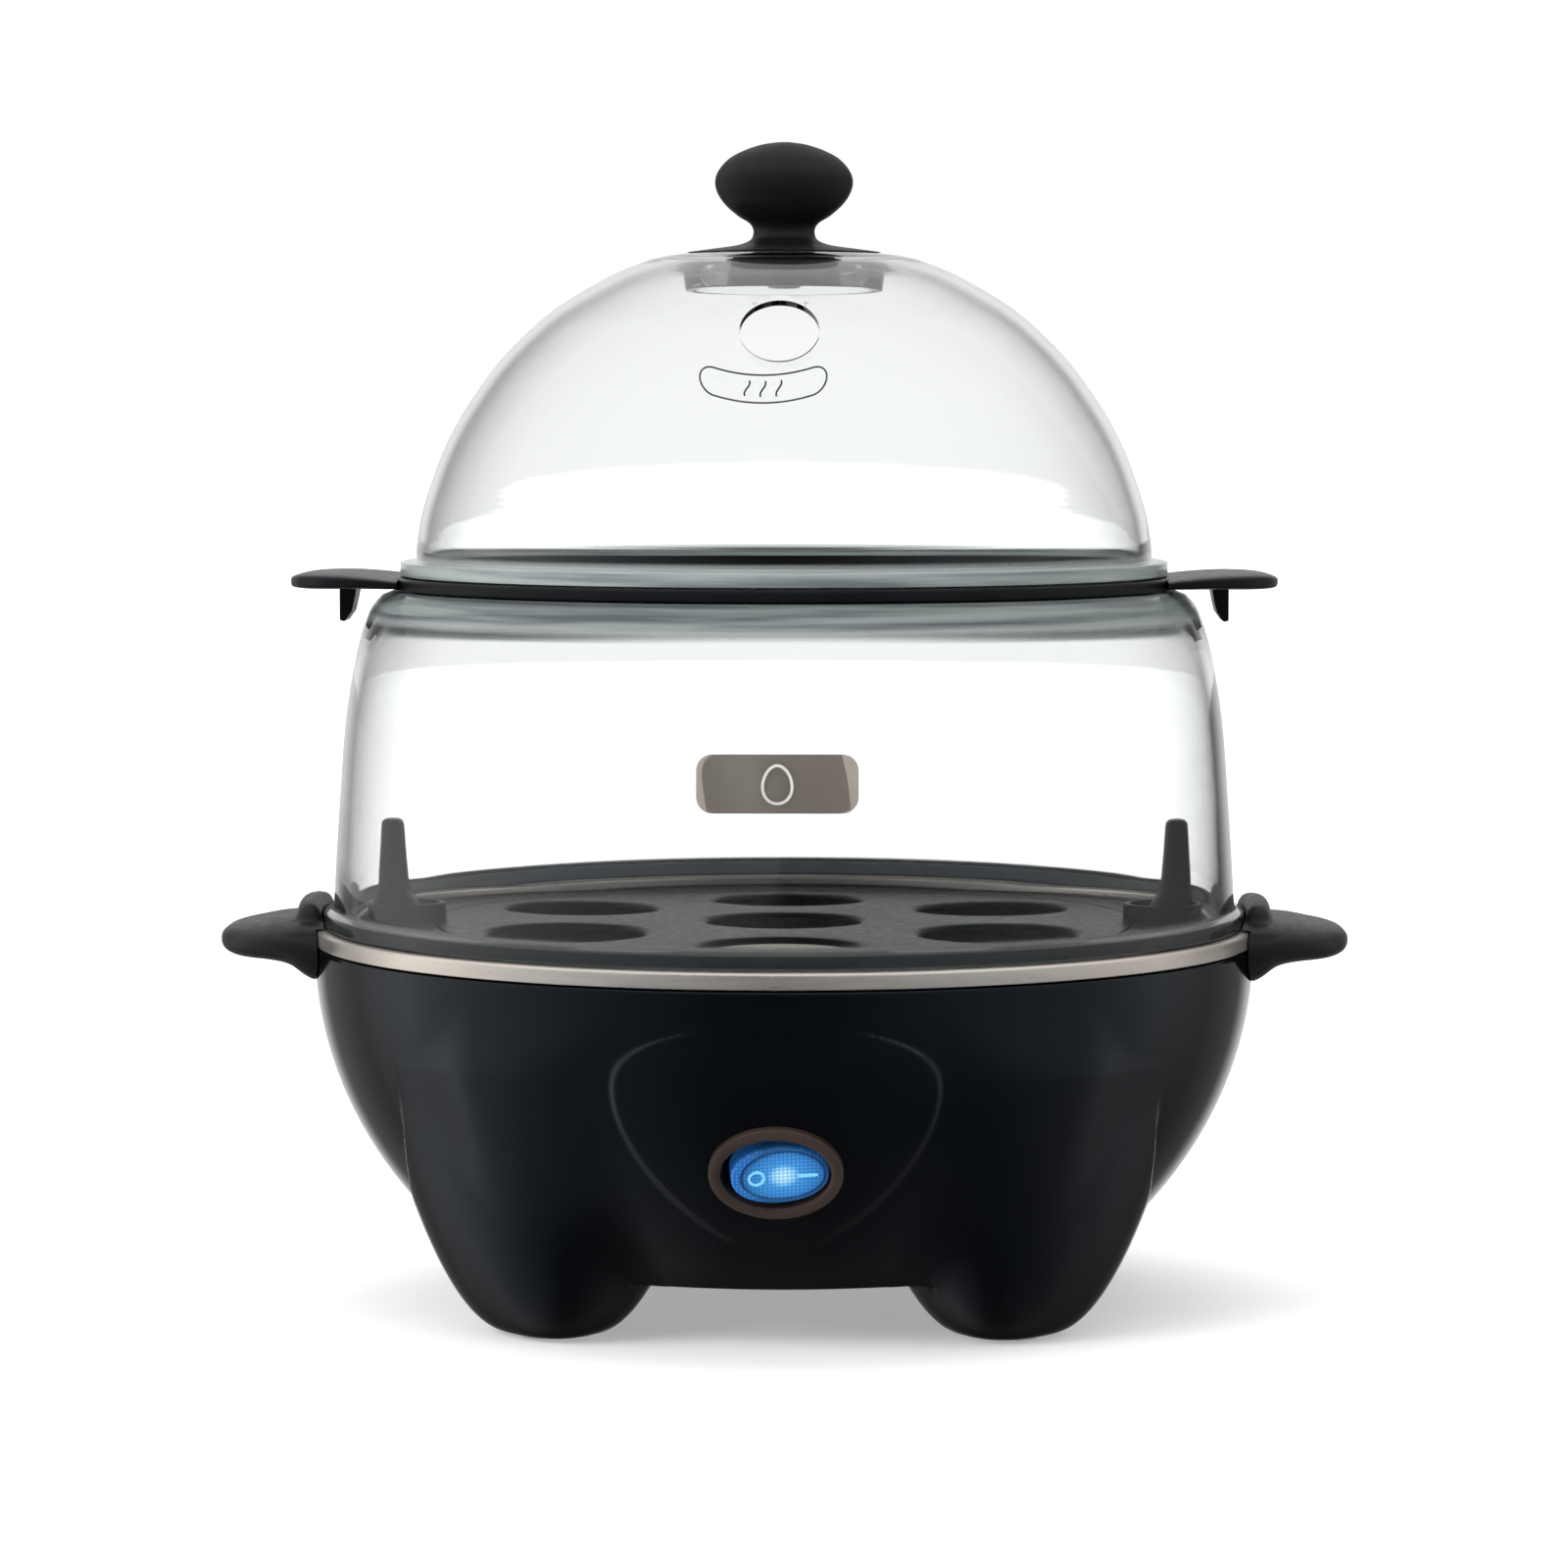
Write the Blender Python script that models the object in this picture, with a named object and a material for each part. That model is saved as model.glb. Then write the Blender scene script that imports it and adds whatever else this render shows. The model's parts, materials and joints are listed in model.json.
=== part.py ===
"""Two-tier electric egg cooker: bowl-shaped base on four lobed legs, a steel heating pan, two egg
trays, a clear lower housing and a clear dome with a knob.

Tables and constants are in millimetres, the scene is in metres. +Z is up, the front faces -Y and the
origin is on the floor under the middle of the base.
"""
import math

import bmesh
import bpy
import numpy as np
from mathutils import Matrix, Vector

MM = 0.001
GAP = 0.3                  # air left between pieces that touch on the real object
ROUND = 36                 # facets round a large turned piece
SMALL = 10                 # facets round a screw, pin or stud
ROD_TWIST = math.radians(8)

# ---- base bowl ----
RIM_R = 94.0
RIM_Z = 72.2
BOWL_EQUATOR = 71.5        # the bowl's wall is upright from here to the rim
BOWL_DEPTH = 82.0
WALL = 2.5
UNDERSIDE = 12.0
FLOOR_TOP = 16.5
COVER_R = 42.0
LIP_R = 36.0
LIP_Z = 14.0
SKIN_COLUMNS = 96

# ---- legs ----
LEG_REACH = 62.9           # leg axis to the object's axis
LEG_TOE = 8.3              # flat radius where a leg meets its pad
LEG_CURVE = 0.066
LEG_BLEND_Z = 54.0         # a leg's face stands proud of the bowl below this height
LEG_FLANK = ((0, 40), (20, 30), (24, 22.5), (31, 18.8), (38, 17.0), (52, 12.6), (80, 12.6))
LEG_SQUASH = 0.80          # a leg is narrower along the radius than across it
LEG_SQUARENESS = 2.5
LEG_BOTTOM = 0.4
PAD_R = 6.8
PAD_TOP = 3.0

# ---- front panel and switch ----
PANEL_TOP = 66.0
PANEL_WIDE_Z = 53.0
PANEL_BOTTOM = 19.0
PANEL_HALF = 31.0
PANEL_RISE = 0.8           # how far the shield panel stands proud of the bowl
SWITCH_Z = 37.7
SWITCH_TILT = math.radians(26.0)
GLAND_Z = 34.0
GLAND_TILT = math.radians(30.0)
BEZEL_HALF = (12.6, 10.0)
WELL_HALF = (10.3, 7.6)
SEAT_DEPTH = 1.6           # how far the bezel's seat is sunk below the panel

# ---- pan and trays ----
PAN_TOP = 75.7
PAN_STEP_R = 86.0
SEAT_Z = 72.0
PAN_FLOOR = 63.5
LOWER_TRAY_R = 85.3
LOWER_TRAY_TOP = 74.3
LOWER_TRAY_BOTTOM = SEAT_Z + GAP
LOWER_RING = 49.0          # egg hole circle, lower tray
UPPER_RING = 43.0
EGG_HOLE_R = 15.5
POST_X = 79.0
POST_TOP = 96.4

# ---- clear housings ----
SHELL_FOOT_R = 92.2
SHELL_FOOT_Z = PAN_TOP + GAP
SHELL_TOP = 142.7
TRAY_RIM_R = 77.8
TRAY_RIM_TOP = 145.4
DOME_FOOT_R = 76.6
DOME_FOOT_Z = TRAY_RIM_TOP + GAP
DOME_TOP = 209.5
KNOB_SEAT_R = 2.6

# ---- heater stack ----
PLATE_TOP = PAN_FLOOR - 1.0 - GAP
PLATE_BOTTOM = PLATE_TOP - 3.4
ELEMENT_RING = 42.0
ELEMENT_TUBE = 3.2
SHIELD_Z = 46.0
BOLT_X = 57.0


# ---------------------------------------------------------------- helpers

def clear_scene():
    for obj in list(bpy.data.objects):
        bpy.data.objects.remove(obj, do_unlink=True)


def make_material(name, colour, roughness, metallic=0.0, alpha=1.0):
    mat = bpy.data.materials.new(name)
    mat.use_nodes = True
    shader = mat.node_tree.nodes["Principled BSDF"]
    shader.inputs["Base Color"].default_value = (*colour, 1.0)
    shader.inputs["Roughness"].default_value = roughness
    shader.inputs["Metallic"].default_value = metallic
    shader.inputs["Alpha"].default_value = alpha
    return mat


def outward(shape):
    """A shape is (points, faces). This one has its faces turned outwards."""
    verts, faces = shape
    volume = 0.0
    for face in faces:
        first = Vector(verts[face[0]])
        for i in range(1, len(face) - 1):
            volume += first.dot(Vector(verts[face[i]]).cross(Vector(verts[face[i + 1]])))
    return (verts, faces) if volume > 0 else (verts, [tuple(reversed(face)) for face in faces])


def moved(shape, matrix):
    verts, faces = shape
    return outward(([matrix @ Vector(v) for v in verts], faces))


def merged(shapes):
    """Several separate closed shapes as one."""
    verts, faces = [], []
    for points, polygons in shapes:
        start = len(verts)
        verts += list(points)
        faces += [tuple(start + i for i in polygon) for polygon in polygons]
    return verts, faces


def make_object(name, shape, mat=None):
    bm = bmesh.new()
    made = [bm.verts.new(Vector(v) * MM) for v in shape[0]]
    for face in shape[1]:
        bm.faces.new([made[i] for i in face])
    mesh = bpy.data.meshes.new(name)
    bm.to_mesh(mesh)
    bm.free()
    mesh.shade_smooth()
    mesh.set_sharp_from_angle(angle=math.radians(35))
    obj = bpy.data.objects.new(name, mesh)
    bpy.context.scene.collection.objects.link(obj)
    if mat:
        mesh.materials.append(mat)
    return obj


def boolean(obj, operation, shapes):
    guide = make_object(f"guide_{obj.name}_{len(obj.modifiers)}", merged(shapes))
    guide.hide_render = True
    guide.display_type = "WIRE"
    mod = obj.modifiers.new(operation.lower(), "BOOLEAN")
    mod.object = guide
    mod.operation = operation
    mod.solver = "EXACT"


def weld_on(obj, *shapes):
    boolean(obj, "UNION", shapes)


def cut_out(obj, *shapes):
    boolean(obj, "DIFFERENCE", shapes)


def turned(profile, segs=ROUND, matrix=Matrix()):
    """An (r, z) outline spun round Z. Ends on the axis close with fans."""
    verts, faces = [], []
    solid = profile[0][0] == 0.0
    rows = profile[1:-1] if solid else profile
    for r, z in rows:
        for i in range(segs):
            a = 2 * math.pi * i / segs
            verts.append((r * math.cos(a), r * math.sin(a), z))
    count = len(rows)
    faces += grid_faces(count, segs, not solid)
    if solid:
        first, last = len(verts), (count - 1) * segs
        verts += [(0, 0, profile[0][1]), (0, 0, profile[-1][1])]
        for i in range(segs):
            j = (i + 1) % segs
            faces.append((first, j, i))
            faces.append((first + 1, last + i, last + j))
    return moved((verts, faces), matrix)


def rod(radius, low, high, at=(0, 0), segs=SMALL, matrix=None):
    """An upright cylinder, or one along the Z axis of a given matrix."""
    frame = matrix if matrix is not None else Matrix.Translation((at[0], at[1], 0))
    frame = frame @ Matrix.Rotation(ROD_TWIST, 4, "Z")
    return turned([(0.0, low), (radius, low), (radius, high), (0.0, high)], segs, frame)


def grid_faces(rows, columns, wrap_rows):
    """Quads of a grid stored row by row, closed along its columns."""
    faces = []
    for k in range(rows if wrap_rows else rows - 1):
        low, high = k * columns, ((k + 1) % rows) * columns
        for i in range(columns):
            j = (i + 1) % columns
            faces.append((low + i, low + j, high + j, high + i))
    return faces


def loft(rings, matrix=Matrix()):
    """A skin through closed rings of equal length, capped at both ends."""
    columns = len(rings[0])
    verts = [p for ring in rings for p in ring]
    faces = grid_faces(len(rings), columns, False)
    faces.append(tuple(reversed(range(columns))))
    last = (len(rings) - 1) * columns
    faces.append(tuple(last + i for i in range(columns)))
    return moved((verts, faces), matrix)


def prism(outline, low, high, matrix=Matrix()):
    """A flat outline given as (x, y), raised from low to high."""
    return loft([[(x, y, z) for x, y in outline] for z in (low, high)], matrix)


def oval(half_x, half_y, count=24, power=1.0):
    points = []
    for i in range(count):
        a = 2 * math.pi * i / count
        c, s = math.cos(a), math.sin(a)
        x = half_x * math.copysign(abs(c) ** power, c)
        y = half_y * math.copysign(abs(s) ** power, s)
        points.append((x, y))
    return points


def box_outline(x0, x1, y0, y1):
    return [(x0, y0), (x1, y0), (x1, y1), (x0, y1)]


def eight_sided(half_x, half_y, side_y, top_x):
    """A box outline with cut corners."""
    return [(half_x, -side_y), (half_x, side_y), (top_x, half_y), (-top_x, half_y),
            (-half_x, side_y), (-half_x, -side_y), (-top_x, -half_y), (top_x, -half_y)]


def wire(name, route, radius, mat):
    """A lead along a smooth curve through its route's points."""
    points = [Vector(p) for p in route]
    ends = [points[0]] + points + [points[-1]]
    smooth = []
    for k in range(1, len(ends) - 2):
        p0, p1, p2, p3 = ends[k - 1:k + 3]
        for s in range(3):
            t = s / 3
            smooth.append(0.5 * (2 * p1 + (p2 - p0) * t + (2 * p0 - 5 * p1 + 4 * p2 - p3) * t * t
                                 + (3 * p1 - p0 - 3 * p2 + p3) * t ** 3))
    smooth.append(points[-1])
    curve = bpy.data.curves.new(name, "CURVE")
    curve.dimensions = "3D"
    curve.bevel_depth = radius * MM
    curve.bevel_resolution = 0
    curve.use_fill_caps = True
    spline = curve.splines.new("POLY")
    spline.points.add(len(smooth) - 1)
    for point, co in zip(spline.points, smooth):
        point.co = (*(co * MM), 1.0)
    curve.materials.append(mat)
    obj = bpy.data.objects.new(name, curve)
    bpy.context.scene.collection.objects.link(obj)
    return obj


# ---------------------------------------------------------------- base shell

def smooth_step(low, high, value):
    t = np.clip((value - low) / (high - low), 0.0, 1.0)
    return t * t * (3 - 2 * t)


def rounded_max(a, b, reach=2.4):
    """The larger of two distances, with the edge between them rounded."""
    return np.maximum(a, b) + np.maximum(reach - np.abs(a - b), 0.0) ** 2 / (4 * reach)


def bowl_radius(z):
    drop = np.clip((BOWL_EQUATOR - z) / BOWL_DEPTH, 0.0, 0.99)
    return RIM_R * np.sqrt(1.0 - drop ** 2)


def panel_rise(x, y, z):
    """Height of the shield-shaped panel: crisp at its top and sides, fading out at its foot."""
    rise = np.clip((z - PANEL_WIDE_Z) / (PANEL_TOP - PANEL_WIDE_Z), -1.0, 1.0)
    fall = np.clip((PANEL_WIDE_Z - z) / (PANEL_WIDE_Z - PANEL_BOTTOM), 0.0, 1.0)
    half = np.where(z > PANEL_WIDE_Z,
                    PANEL_HALF * (1 - np.clip(rise, 0, 1) ** 2.6) ** 0.5,
                    PANEL_HALF * (1 - fall ** 1.7) ** 0.75)
    inside = smooth_step(-0.4, 1.6, half - np.abs(x))
    inside = inside * smooth_step(0.0, 2.0, PANEL_TOP - z) * smooth_step(22.0, 34.0, z)
    height = np.minimum(PANEL_RISE, RIM_R - 0.1 - bowl_radius(z))
    return np.where(y < 0, height * inside, 0.0)


def skin_field(azimuth, r, z, inset):
    """Negative inside the base: bowl and legs blended, crisp towards the handles, soft elsewhere."""
    x, y = r * np.cos(azimuth), r * np.sin(azimuth)
    bowl = r - bowl_radius(z) + inset - panel_rise(x, y, z)
    bowl = np.where(z < (UNDERSIDE if inset == 0 else FLOOR_TOP), 1e3, bowl)
    along = (np.abs(x) + np.abs(y)) / math.sqrt(2) - LEG_REACH
    across = (np.abs(x) - np.abs(y)) / math.sqrt(2)
    spread = ((np.abs(along) / LEG_SQUASH) ** LEG_SQUARENESS
              + np.abs(across) ** LEG_SQUARENESS) ** (1 / LEG_SQUARENESS)
    height = z - LEG_BOTTOM - inset * 1.3
    leg = spread - LEG_TOE - np.sqrt(np.maximum(height, 0.0) / LEG_CURVE) + inset * 0.9
    below = LEG_BLEND_Z - z
    proud = np.where(below > 0, 0.0102 * below ** 2, 0.5 * below)
    leg = rounded_max(leg, r - bowl_radius(z) - proud + inset)
    flank = np.interp(z, *zip(*LEG_FLANK))         # flat side that a leg turns to its handle
    leg = rounded_max(leg, across - flank + inset * 0.9)
    leg = np.where(height < 0, 1e3, leg)
    softness = 1.0 + 7.0 * smooth_step(-6.0, 12.0, -across)
    mix = np.clip(0.5 + 0.5 * (leg - bowl) / softness, 0.0, 1.0)
    return leg * (1 - mix) + bowl * mix - softness * mix * (1 - mix)


def skin_column(azimuth, inset, upper, lower):
    """Outline of the skin in one upright plane, from the rim to the bottom opening."""
    floor = UNDERSIDE if inset == 0 else FLOOR_TOP
    r = np.arange(30.0, 97.0, 0.15)
    split = 50.0
    heights = np.concatenate([np.linspace(RIM_Z, split, upper + 1),
                              np.arange(split - 0.25, LEG_BOTTOM + inset, -0.25)])
    field = skin_field(azimuth, r[None, :], heights[:, None], inset)
    outer, inner = [], []
    for z, row in zip(heights, field):
        inside = np.nonzero(row < 0)[0]
        if len(inside) == 0:
            break
        last, first = inside[-1], inside[0]
        t = row[last] / (row[last] - row[last + 1])
        outer.append((r[last] + t * 0.15, z))
        if z < floor:
            inner.append((r[first], z))
    outer = outer + inner[::-1] + [(COVER_R + 1.5, floor)]
    head, tail = outer[:upper], np.array(outer[upper:])
    steps = np.concatenate([[0], np.cumsum(np.hypot(*np.diff(tail, axis=0).T))])
    at = np.linspace(0, steps[-1], lower)
    tail = list(zip(np.interp(at, steps, tail[:, 0]), np.interp(at, steps, tail[:, 1])))
    return head + tail


def base_shell(mat):
    verts = []
    for j in range(SKIN_COLUMNS):
        a = 2 * math.pi * j / SKIN_COLUMNS
        outer = skin_column(a, 0.0, 3, 14)
        lip = [(COVER_R, UNDERSIDE), (COVER_R, LIP_Z), (LIP_R, LIP_Z), (LIP_R, FLOOR_TOP)]
        inner = skin_column(a, WALL, 2, 8)
        loop = outer + lip + inner[::-1]
        verts += [(r * math.cos(a), r * math.sin(a), z) for r, z in loop]
    shell = make_object("base_shell", outward((verts, grid_faces(SKIN_COLUMNS, len(loop), True))), mat)
    bolts = ((-BOLT_X, 0), (BOLT_X, 0))
    weld_on(shell, *[rod(4.6, UNDERSIDE + 2.0, SHIELD_Z - GAP, at=place) for place in bolts])
    front, rear = switch_frame(), gland_frame()
    cut_out(shell, prism(oval(BEZEL_HALF[0] + GAP, BEZEL_HALF[1] + GAP), -SEAT_DEPTH, 12, front),
            rod(7.4, -1.0, 12, segs=16, matrix=rear))
    cuts = [rod(5.0, -8, 6, matrix=rear), prism(eight_sided(10.6, 8.2, 5.1, 7.0), -14, 4, front)]
    for low, high in ((-99, -83), (83, 99)):
        cuts.append(rod(HANDLE_PEG_R + GAP, low, high, matrix=along_x(HANDLE_PEG_Z)))
    cuts += [rod(2.2, UNDERSIDE - 3, SHIELD_Z + 3, at=place) for place in bolts]
    cuts += [rod(PAD_R + GAP, -5, PAD_TOP + GAP, at=place, segs=16) for place in leg_places()]
    cuts += [rod(1.6, LIP_Z - 2, FLOOR_TOP + 2, at=place, segs=8) for place in cover_screw_places()]
    cut_out(shell, *cuts)


def along_x(z):
    """Local z points along +X at height z."""
    return Matrix.Translation((0, 0, z)) @ Matrix.Rotation(math.pi / 2, 4, "Y")


def switch_frame():
    """Local x to the right, y up along the sloping face, z out of it."""
    reach = float(bowl_radius(SWITCH_Z)) + PANEL_RISE
    out = Vector((0, -math.cos(SWITCH_TILT), -math.sin(SWITCH_TILT)))
    up = Vector((0, -math.sin(SWITCH_TILT), math.cos(SWITCH_TILT)))
    right = Vector((1, 0, 0))
    turn = Matrix((right, up, out)).transposed().to_4x4()
    return Matrix.Translation((0, -reach, SWITCH_Z)) @ turn


def gland_frame():
    """Local z points out of the back of the bowl, square to its sloping wall."""
    at = Matrix.Translation((0, float(bowl_radius(GLAND_Z)), GLAND_Z))
    return at @ Matrix.Rotation(-math.pi / 2 - GLAND_TILT, 4, "X")


def leg_places():
    d = LEG_REACH / math.sqrt(2)
    return [(-d, -d), (d, -d), (-d, d), (d, d)]


def cover_screw_places():
    r = (COVER_R + LIP_R) / 2
    return [(r, 0), (0, r), (-r, 0), (0, -r)]


LEG_NAMES = ("front_left", "front_right", "rear_left", "rear_right")


def underside(cover_mat, rubber, steel):
    cover = make_object("bottom_cover", rod(COVER_R - GAP, UNDERSIDE + 0.3, LIP_Z - GAP, segs=28), cover_mat)
    cuts = [rod(1.6, UNDERSIDE - 2, LIP_Z + 2, at=place, segs=8) for place in cover_screw_places()]
    cuts += [prism(oval(11, 1.6, 8, 0.6), UNDERSIDE - 2, LIP_Z + 2, Matrix.Translation((0, k * 10.0, 0)))
             for k in (-1, 0, 1)]
    cut_out(cover, *cuts)
    pad = [(0, 0), (PAD_R - 0.8, 0), (PAD_R, 0.8), (PAD_R, PAD_TOP), (0, PAD_TOP)]
    for name, (x, y) in zip(LEG_NAMES, leg_places()):
        make_object("foot_pad_" + name, turned(pad, 16, Matrix.Translation((x, y, 0))), rubber)
    low = UNDERSIDE - 1.4
    screw = [(0, low), (2.2, low), (2.8, low + 0.6), (2.8, UNDERSIDE), (1.25, UNDERSIDE),
             (1.25, FLOOR_TOP + 1.5), (0, FLOOR_TOP + 2.5)]
    for name, (x, y) in zip(("right", "rear", "left", "front"), cover_screw_places()):
        make_object("cover_screw_" + name, turned(screw, 10, Matrix.Translation((x, y, 0))), steel)


def cord_gland(mat):
    profile = [(2.4, -9.0), (4.6, -9.0), (4.6, -0.7), (7.0, -0.7), (6.6, 1.4), (4.4, 5.0), (2.4, 5.0)]
    make_object("cord_gland", turned(profile, 12, gland_frame()), mat)


# ---------------------------------------------------------------- side handles

HANDLE_PEG_Z = 68.0
HANDLE_PEG_R = 2.6
WING_STATIONS = (          # radius, underside, top, half-width
    (90.0, 63.6, 77.6, 21.5),
    (94.4, 64.8, 77.6, 22.5),
    (98.0, 67.6, 77.5, 22.8),
    (102.0, 68.6, 77.2, 22.0),
    (106.0, 69.0, 76.5, 19.8),
    (109.0, 69.4, 76.0, 16.4),
    (111.4, 70.2, 75.3, 11.4),
    (112.6, 71.3, 74.3, 6.4),
    (113.0, 72.3, 73.5, 2.6),
)
KNUCKLE_STATIONS = (       # place along the rim, half-height, half-thickness
    (-15.0, 1.2, 0.6), (-14.4, 3.2, 1.8), (-12.0, 4.5, 2.5), (0.0, 5.2, 2.7),
    (12.0, 4.5, 2.5), (14.4, 3.2, 1.8), (15.0, 1.2, 0.6),
)


def clearance_profile():
    """Everything that a side handle has to stay clear of, as one turned outline."""
    heights = [50, 55, 60, 64, 68, 71.5]
    wall = [(float(bowl_radius(z)) + GAP, z) for z in heights]
    return [(0.0, 50.0)] + wall + [(RIM_R + GAP, PAN_TOP + GAP), (SHELL_FOOT_R + GAP, PAN_TOP + GAP),
                                   (SHELL_FOOT_R + GAP, 100.0), (0.0, 100.0)]


def side_handle(name, side, mat):
    rings = []
    for r, low, high, half in WING_STATIONS:
        mid, tall = (low + high) / 2, (high - low) / 2
        rings.append([(side * r, y, mid + z) for y, z in oval(half, tall, 16, 0.55)])
    wing = make_object(name, loft(rings), mat)
    ridge = []
    for y, tall, thick in KNUCKLE_STATIONS:
        bow = RIM_R + 1.0 - RIM_R * (1 - math.cos(y / RIM_R))
        ridge.append([(side * (bow + a), y, 76.3 + b) for a, b in oval(thick, tall, 12, 0.8)])
    weld_on(wing, loft(ridge))
    cut_out(wing, turned(clearance_profile(), SKIN_COLUMNS))
    stem = sorted((side * 90.2, side * 96.0))
    weld_on(wing, rod(HANDLE_PEG_R, *stem, matrix=along_x(HANDLE_PEG_Z)))
    bore = sorted((side * 88.0, side * 98.0))
    cut_out(wing, rod(1.5, *bore, matrix=along_x(HANDLE_PEG_Z), segs=8))


def handle_screw(name, side, mat):
    profile = [(0, 86.4), (2.0, 86.4), (2.8, 87.2), (2.8, 88.6), (1.2, 88.6), (1.2, 97.0), (0, 97.0)]
    frame = Matrix.Translation((0, 0, HANDLE_PEG_Z)) @ Matrix.Rotation(side * math.pi / 2, 4, "Y")
    make_object(name, turned(profile, 8, frame), mat)


# ---------------------------------------------------------------- pan and heater

def heating_pan(mat):
    t = 1.0
    top = [(RIM_R, RIM_Z + GAP), (RIM_R, PAN_TOP - 0.8), (RIM_R - 0.8, PAN_TOP), (PAN_STEP_R, PAN_TOP),
           (PAN_STEP_R, SEAT_Z), (80.0, SEAT_Z), (77.5, SEAT_Z - 2.0), (74.5, PAN_FLOOR + 3.0),
           (71.5, PAN_FLOOR), (0.0, PAN_FLOOR)]
    under = [(0.0, PAN_FLOOR - t), (72.0, PAN_FLOOR - t), (75.4, PAN_FLOOR + 2.4), (78.4, SEAT_Z - 2.6),
             (80.4, SEAT_Z - t), (PAN_STEP_R + t, SEAT_Z - t), (PAN_STEP_R + t, PAN_TOP - t),
             (RIM_R - t, PAN_TOP - t), (RIM_R - t, RIM_Z + GAP)]
    make_object("heating_pan", turned(top[::-1] + under[::-1]), mat)


def pan_gasket(mat):
    low, high = RIM_Z + GAP, PAN_TOP - 1.0 - GAP
    profile = [(89.0, low), (92.7, low), (92.7, high), (89.0, high)]
    make_object("pan_gasket", turned(profile), mat)


def heater(alloy, steel, ceramic, brass):
    plate = make_object("heater_plate", rod(62.0, PLATE_BOTTOM, PLATE_TOP, segs=28), alloy)
    sides = (-BOLT_X, BOLT_X)
    cut_out(plate, *[rod(2.1, PLATE_BOTTOM - 2, PLATE_TOP - 1.0, at=(x, 0)) for x in sides])
    z = z_element()
    rings = []
    for k in range(25):
        a = math.radians(112 + 316 * k / 24)
        c, s = math.cos(a), math.sin(a)
        rings.append([((ELEMENT_RING + u) * c, (ELEMENT_RING + u) * s, z + v)
                      for u, v in oval(ELEMENT_TUBE, ELEMENT_TUBE, 8)])
    make_object("heating_element", loft(rings), steel)
    cold_end = [(0, 0.3), (2.4, 0.3), (2.4, 3.0), (1.3, 3.0), (1.3, 8.0), (0, 8.0)]
    for name, degrees, side in (("left", 112, 1), ("right", 68, -1)):
        a = math.radians(degrees)
        at = Vector((ELEMENT_RING * math.cos(a), ELEMENT_RING * math.sin(a), z))
        turn = Matrix.Rotation(a, 4, "Z") @ Matrix.Rotation(side * math.pi / 2, 4, "X")
        make_object("element_terminal_" + name, turned(cold_end, 10, Matrix.Translation(at) @ turn), ceramic)
    low = PLATE_BOTTOM - GAP
    can = [(0, low), (9.0, low), (9.0, low - 1.0), (8.0, low - 1.0), (8.0, low - 8.0), (0, low - 8.0)]
    make_object("thermostat", turned(can, 20), ceramic)
    fuse = [(0, -8), (0.6, -8), (0.6, -5), (2.0, -4.6), (2.0, 4.6), (0.6, 5), (0.6, 8), (0, 8)]
    lie = Matrix.Translation((18.0, 0, low - 2.2)) @ Matrix.Rotation(math.pi / 2, 4, "X")
    make_object("thermal_fuse", turned(fuse, 10, lie), brass)
    dish = [(24.0, SHIELD_Z), (62.0, SHIELD_Z), (62.0, SHIELD_Z + 0.8), (25.0, SHIELD_Z + 0.8),
            (25.0, SHIELD_Z + 2.5), (24.0, SHIELD_Z + 2.5)]
    shield = make_object("heat_shield", turned(dish, 24), steel)
    cut_out(shield, *[rod(2.3, SHIELD_Z - 2, SHIELD_Z + 3, at=(x, 0)) for x in sides])
    low = UNDERSIDE - 2.0
    bolt = [(0, low), (3.2, low), (3.2, UNDERSIDE - GAP), (1.8, UNDERSIDE - GAP), (1.8, PLATE_TOP - 1.4),
            (0, PLATE_TOP - 1.4)]
    for name, x in zip(("left", "right"), sides):
        make_object("pan_bolt_" + name, turned(bolt, 10, Matrix.Translation((x, 0, 0))), steel)


def electrics(mats):
    brick = prism(box_outline(-11, 11, 42, 52), FLOOR_TOP + GAP, FLOOR_TOP + 11)
    block = make_object("terminal_block", brick, mats["housing"])
    ways = [Matrix.Translation((x, 0, FLOOR_TOP + 6)) @ Matrix.Rotation(-math.pi / 2, 4, "X")
            for x in (-7, 0, 7)]
    cut_out(block, *[rod(1.9, 30, 60, matrix=way, segs=8) for way in ways])
    can = [(0, 17), (9, 17), (9, 25), (7.5, 26), (2, 26), (2, 25), (0, 25)]
    make_object("buzzer", turned(can, 20, Matrix.Translation((-24, 46, 0))), mats["housing"])
    front = switch_frame()
    base = FLOOR_TOP + 6
    end = z_element()
    load, _, line = [front @ Vector((x, -3.5, TERMINAL_TIP + 1.2)) for x in TERMINAL_X]
    wire("wire_feed", [(7, 52.4, base), (10, 60, base), (26, 62, 24), (36, 46, 25), (30, 10, 23),
                       (14, -30, 22), line + Vector((0, 5.5, -1.5)), line], 0.9, mats["wire_red"])
    wire("wire_heater", [load, load + Vector((0, 5.5, -1.5)), (-14, -30, 30), (-12, -10, 36), (-7, 8, 46),
                         (-4, 24, 51), (-2, 40, end - 1.5), (-7.4, 42.3, end)], 0.9, mats["wire_black"])
    wire("wire_neutral", [(0, 52.4, base), (2, 58, base + 4), (9, 50, 30), (12, 28, 34), (8, 13, 44),
                          (4, 24, 51), (2, 40, end - 1.5), (7.4, 42.3, end)], 0.9, mats["wire_blue"])


def z_element():
    return PLATE_BOTTOM - GAP - ELEMENT_TUBE


# ---------------------------------------------------------------- rocker switch

ROCKER_PIVOT = -5.4        # below the panel, along the switch's own axis
ROCKER_REST = 7.5          # tilt of the pressed side, degrees
LEVER_PIVOT = -12.0
LEVER_REST = -6.0
TERMINAL_X = (-6.0, 0.0, 6.0)
TERMINAL_TIP = -21.6
HOUSING_BACK = -19.0


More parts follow.
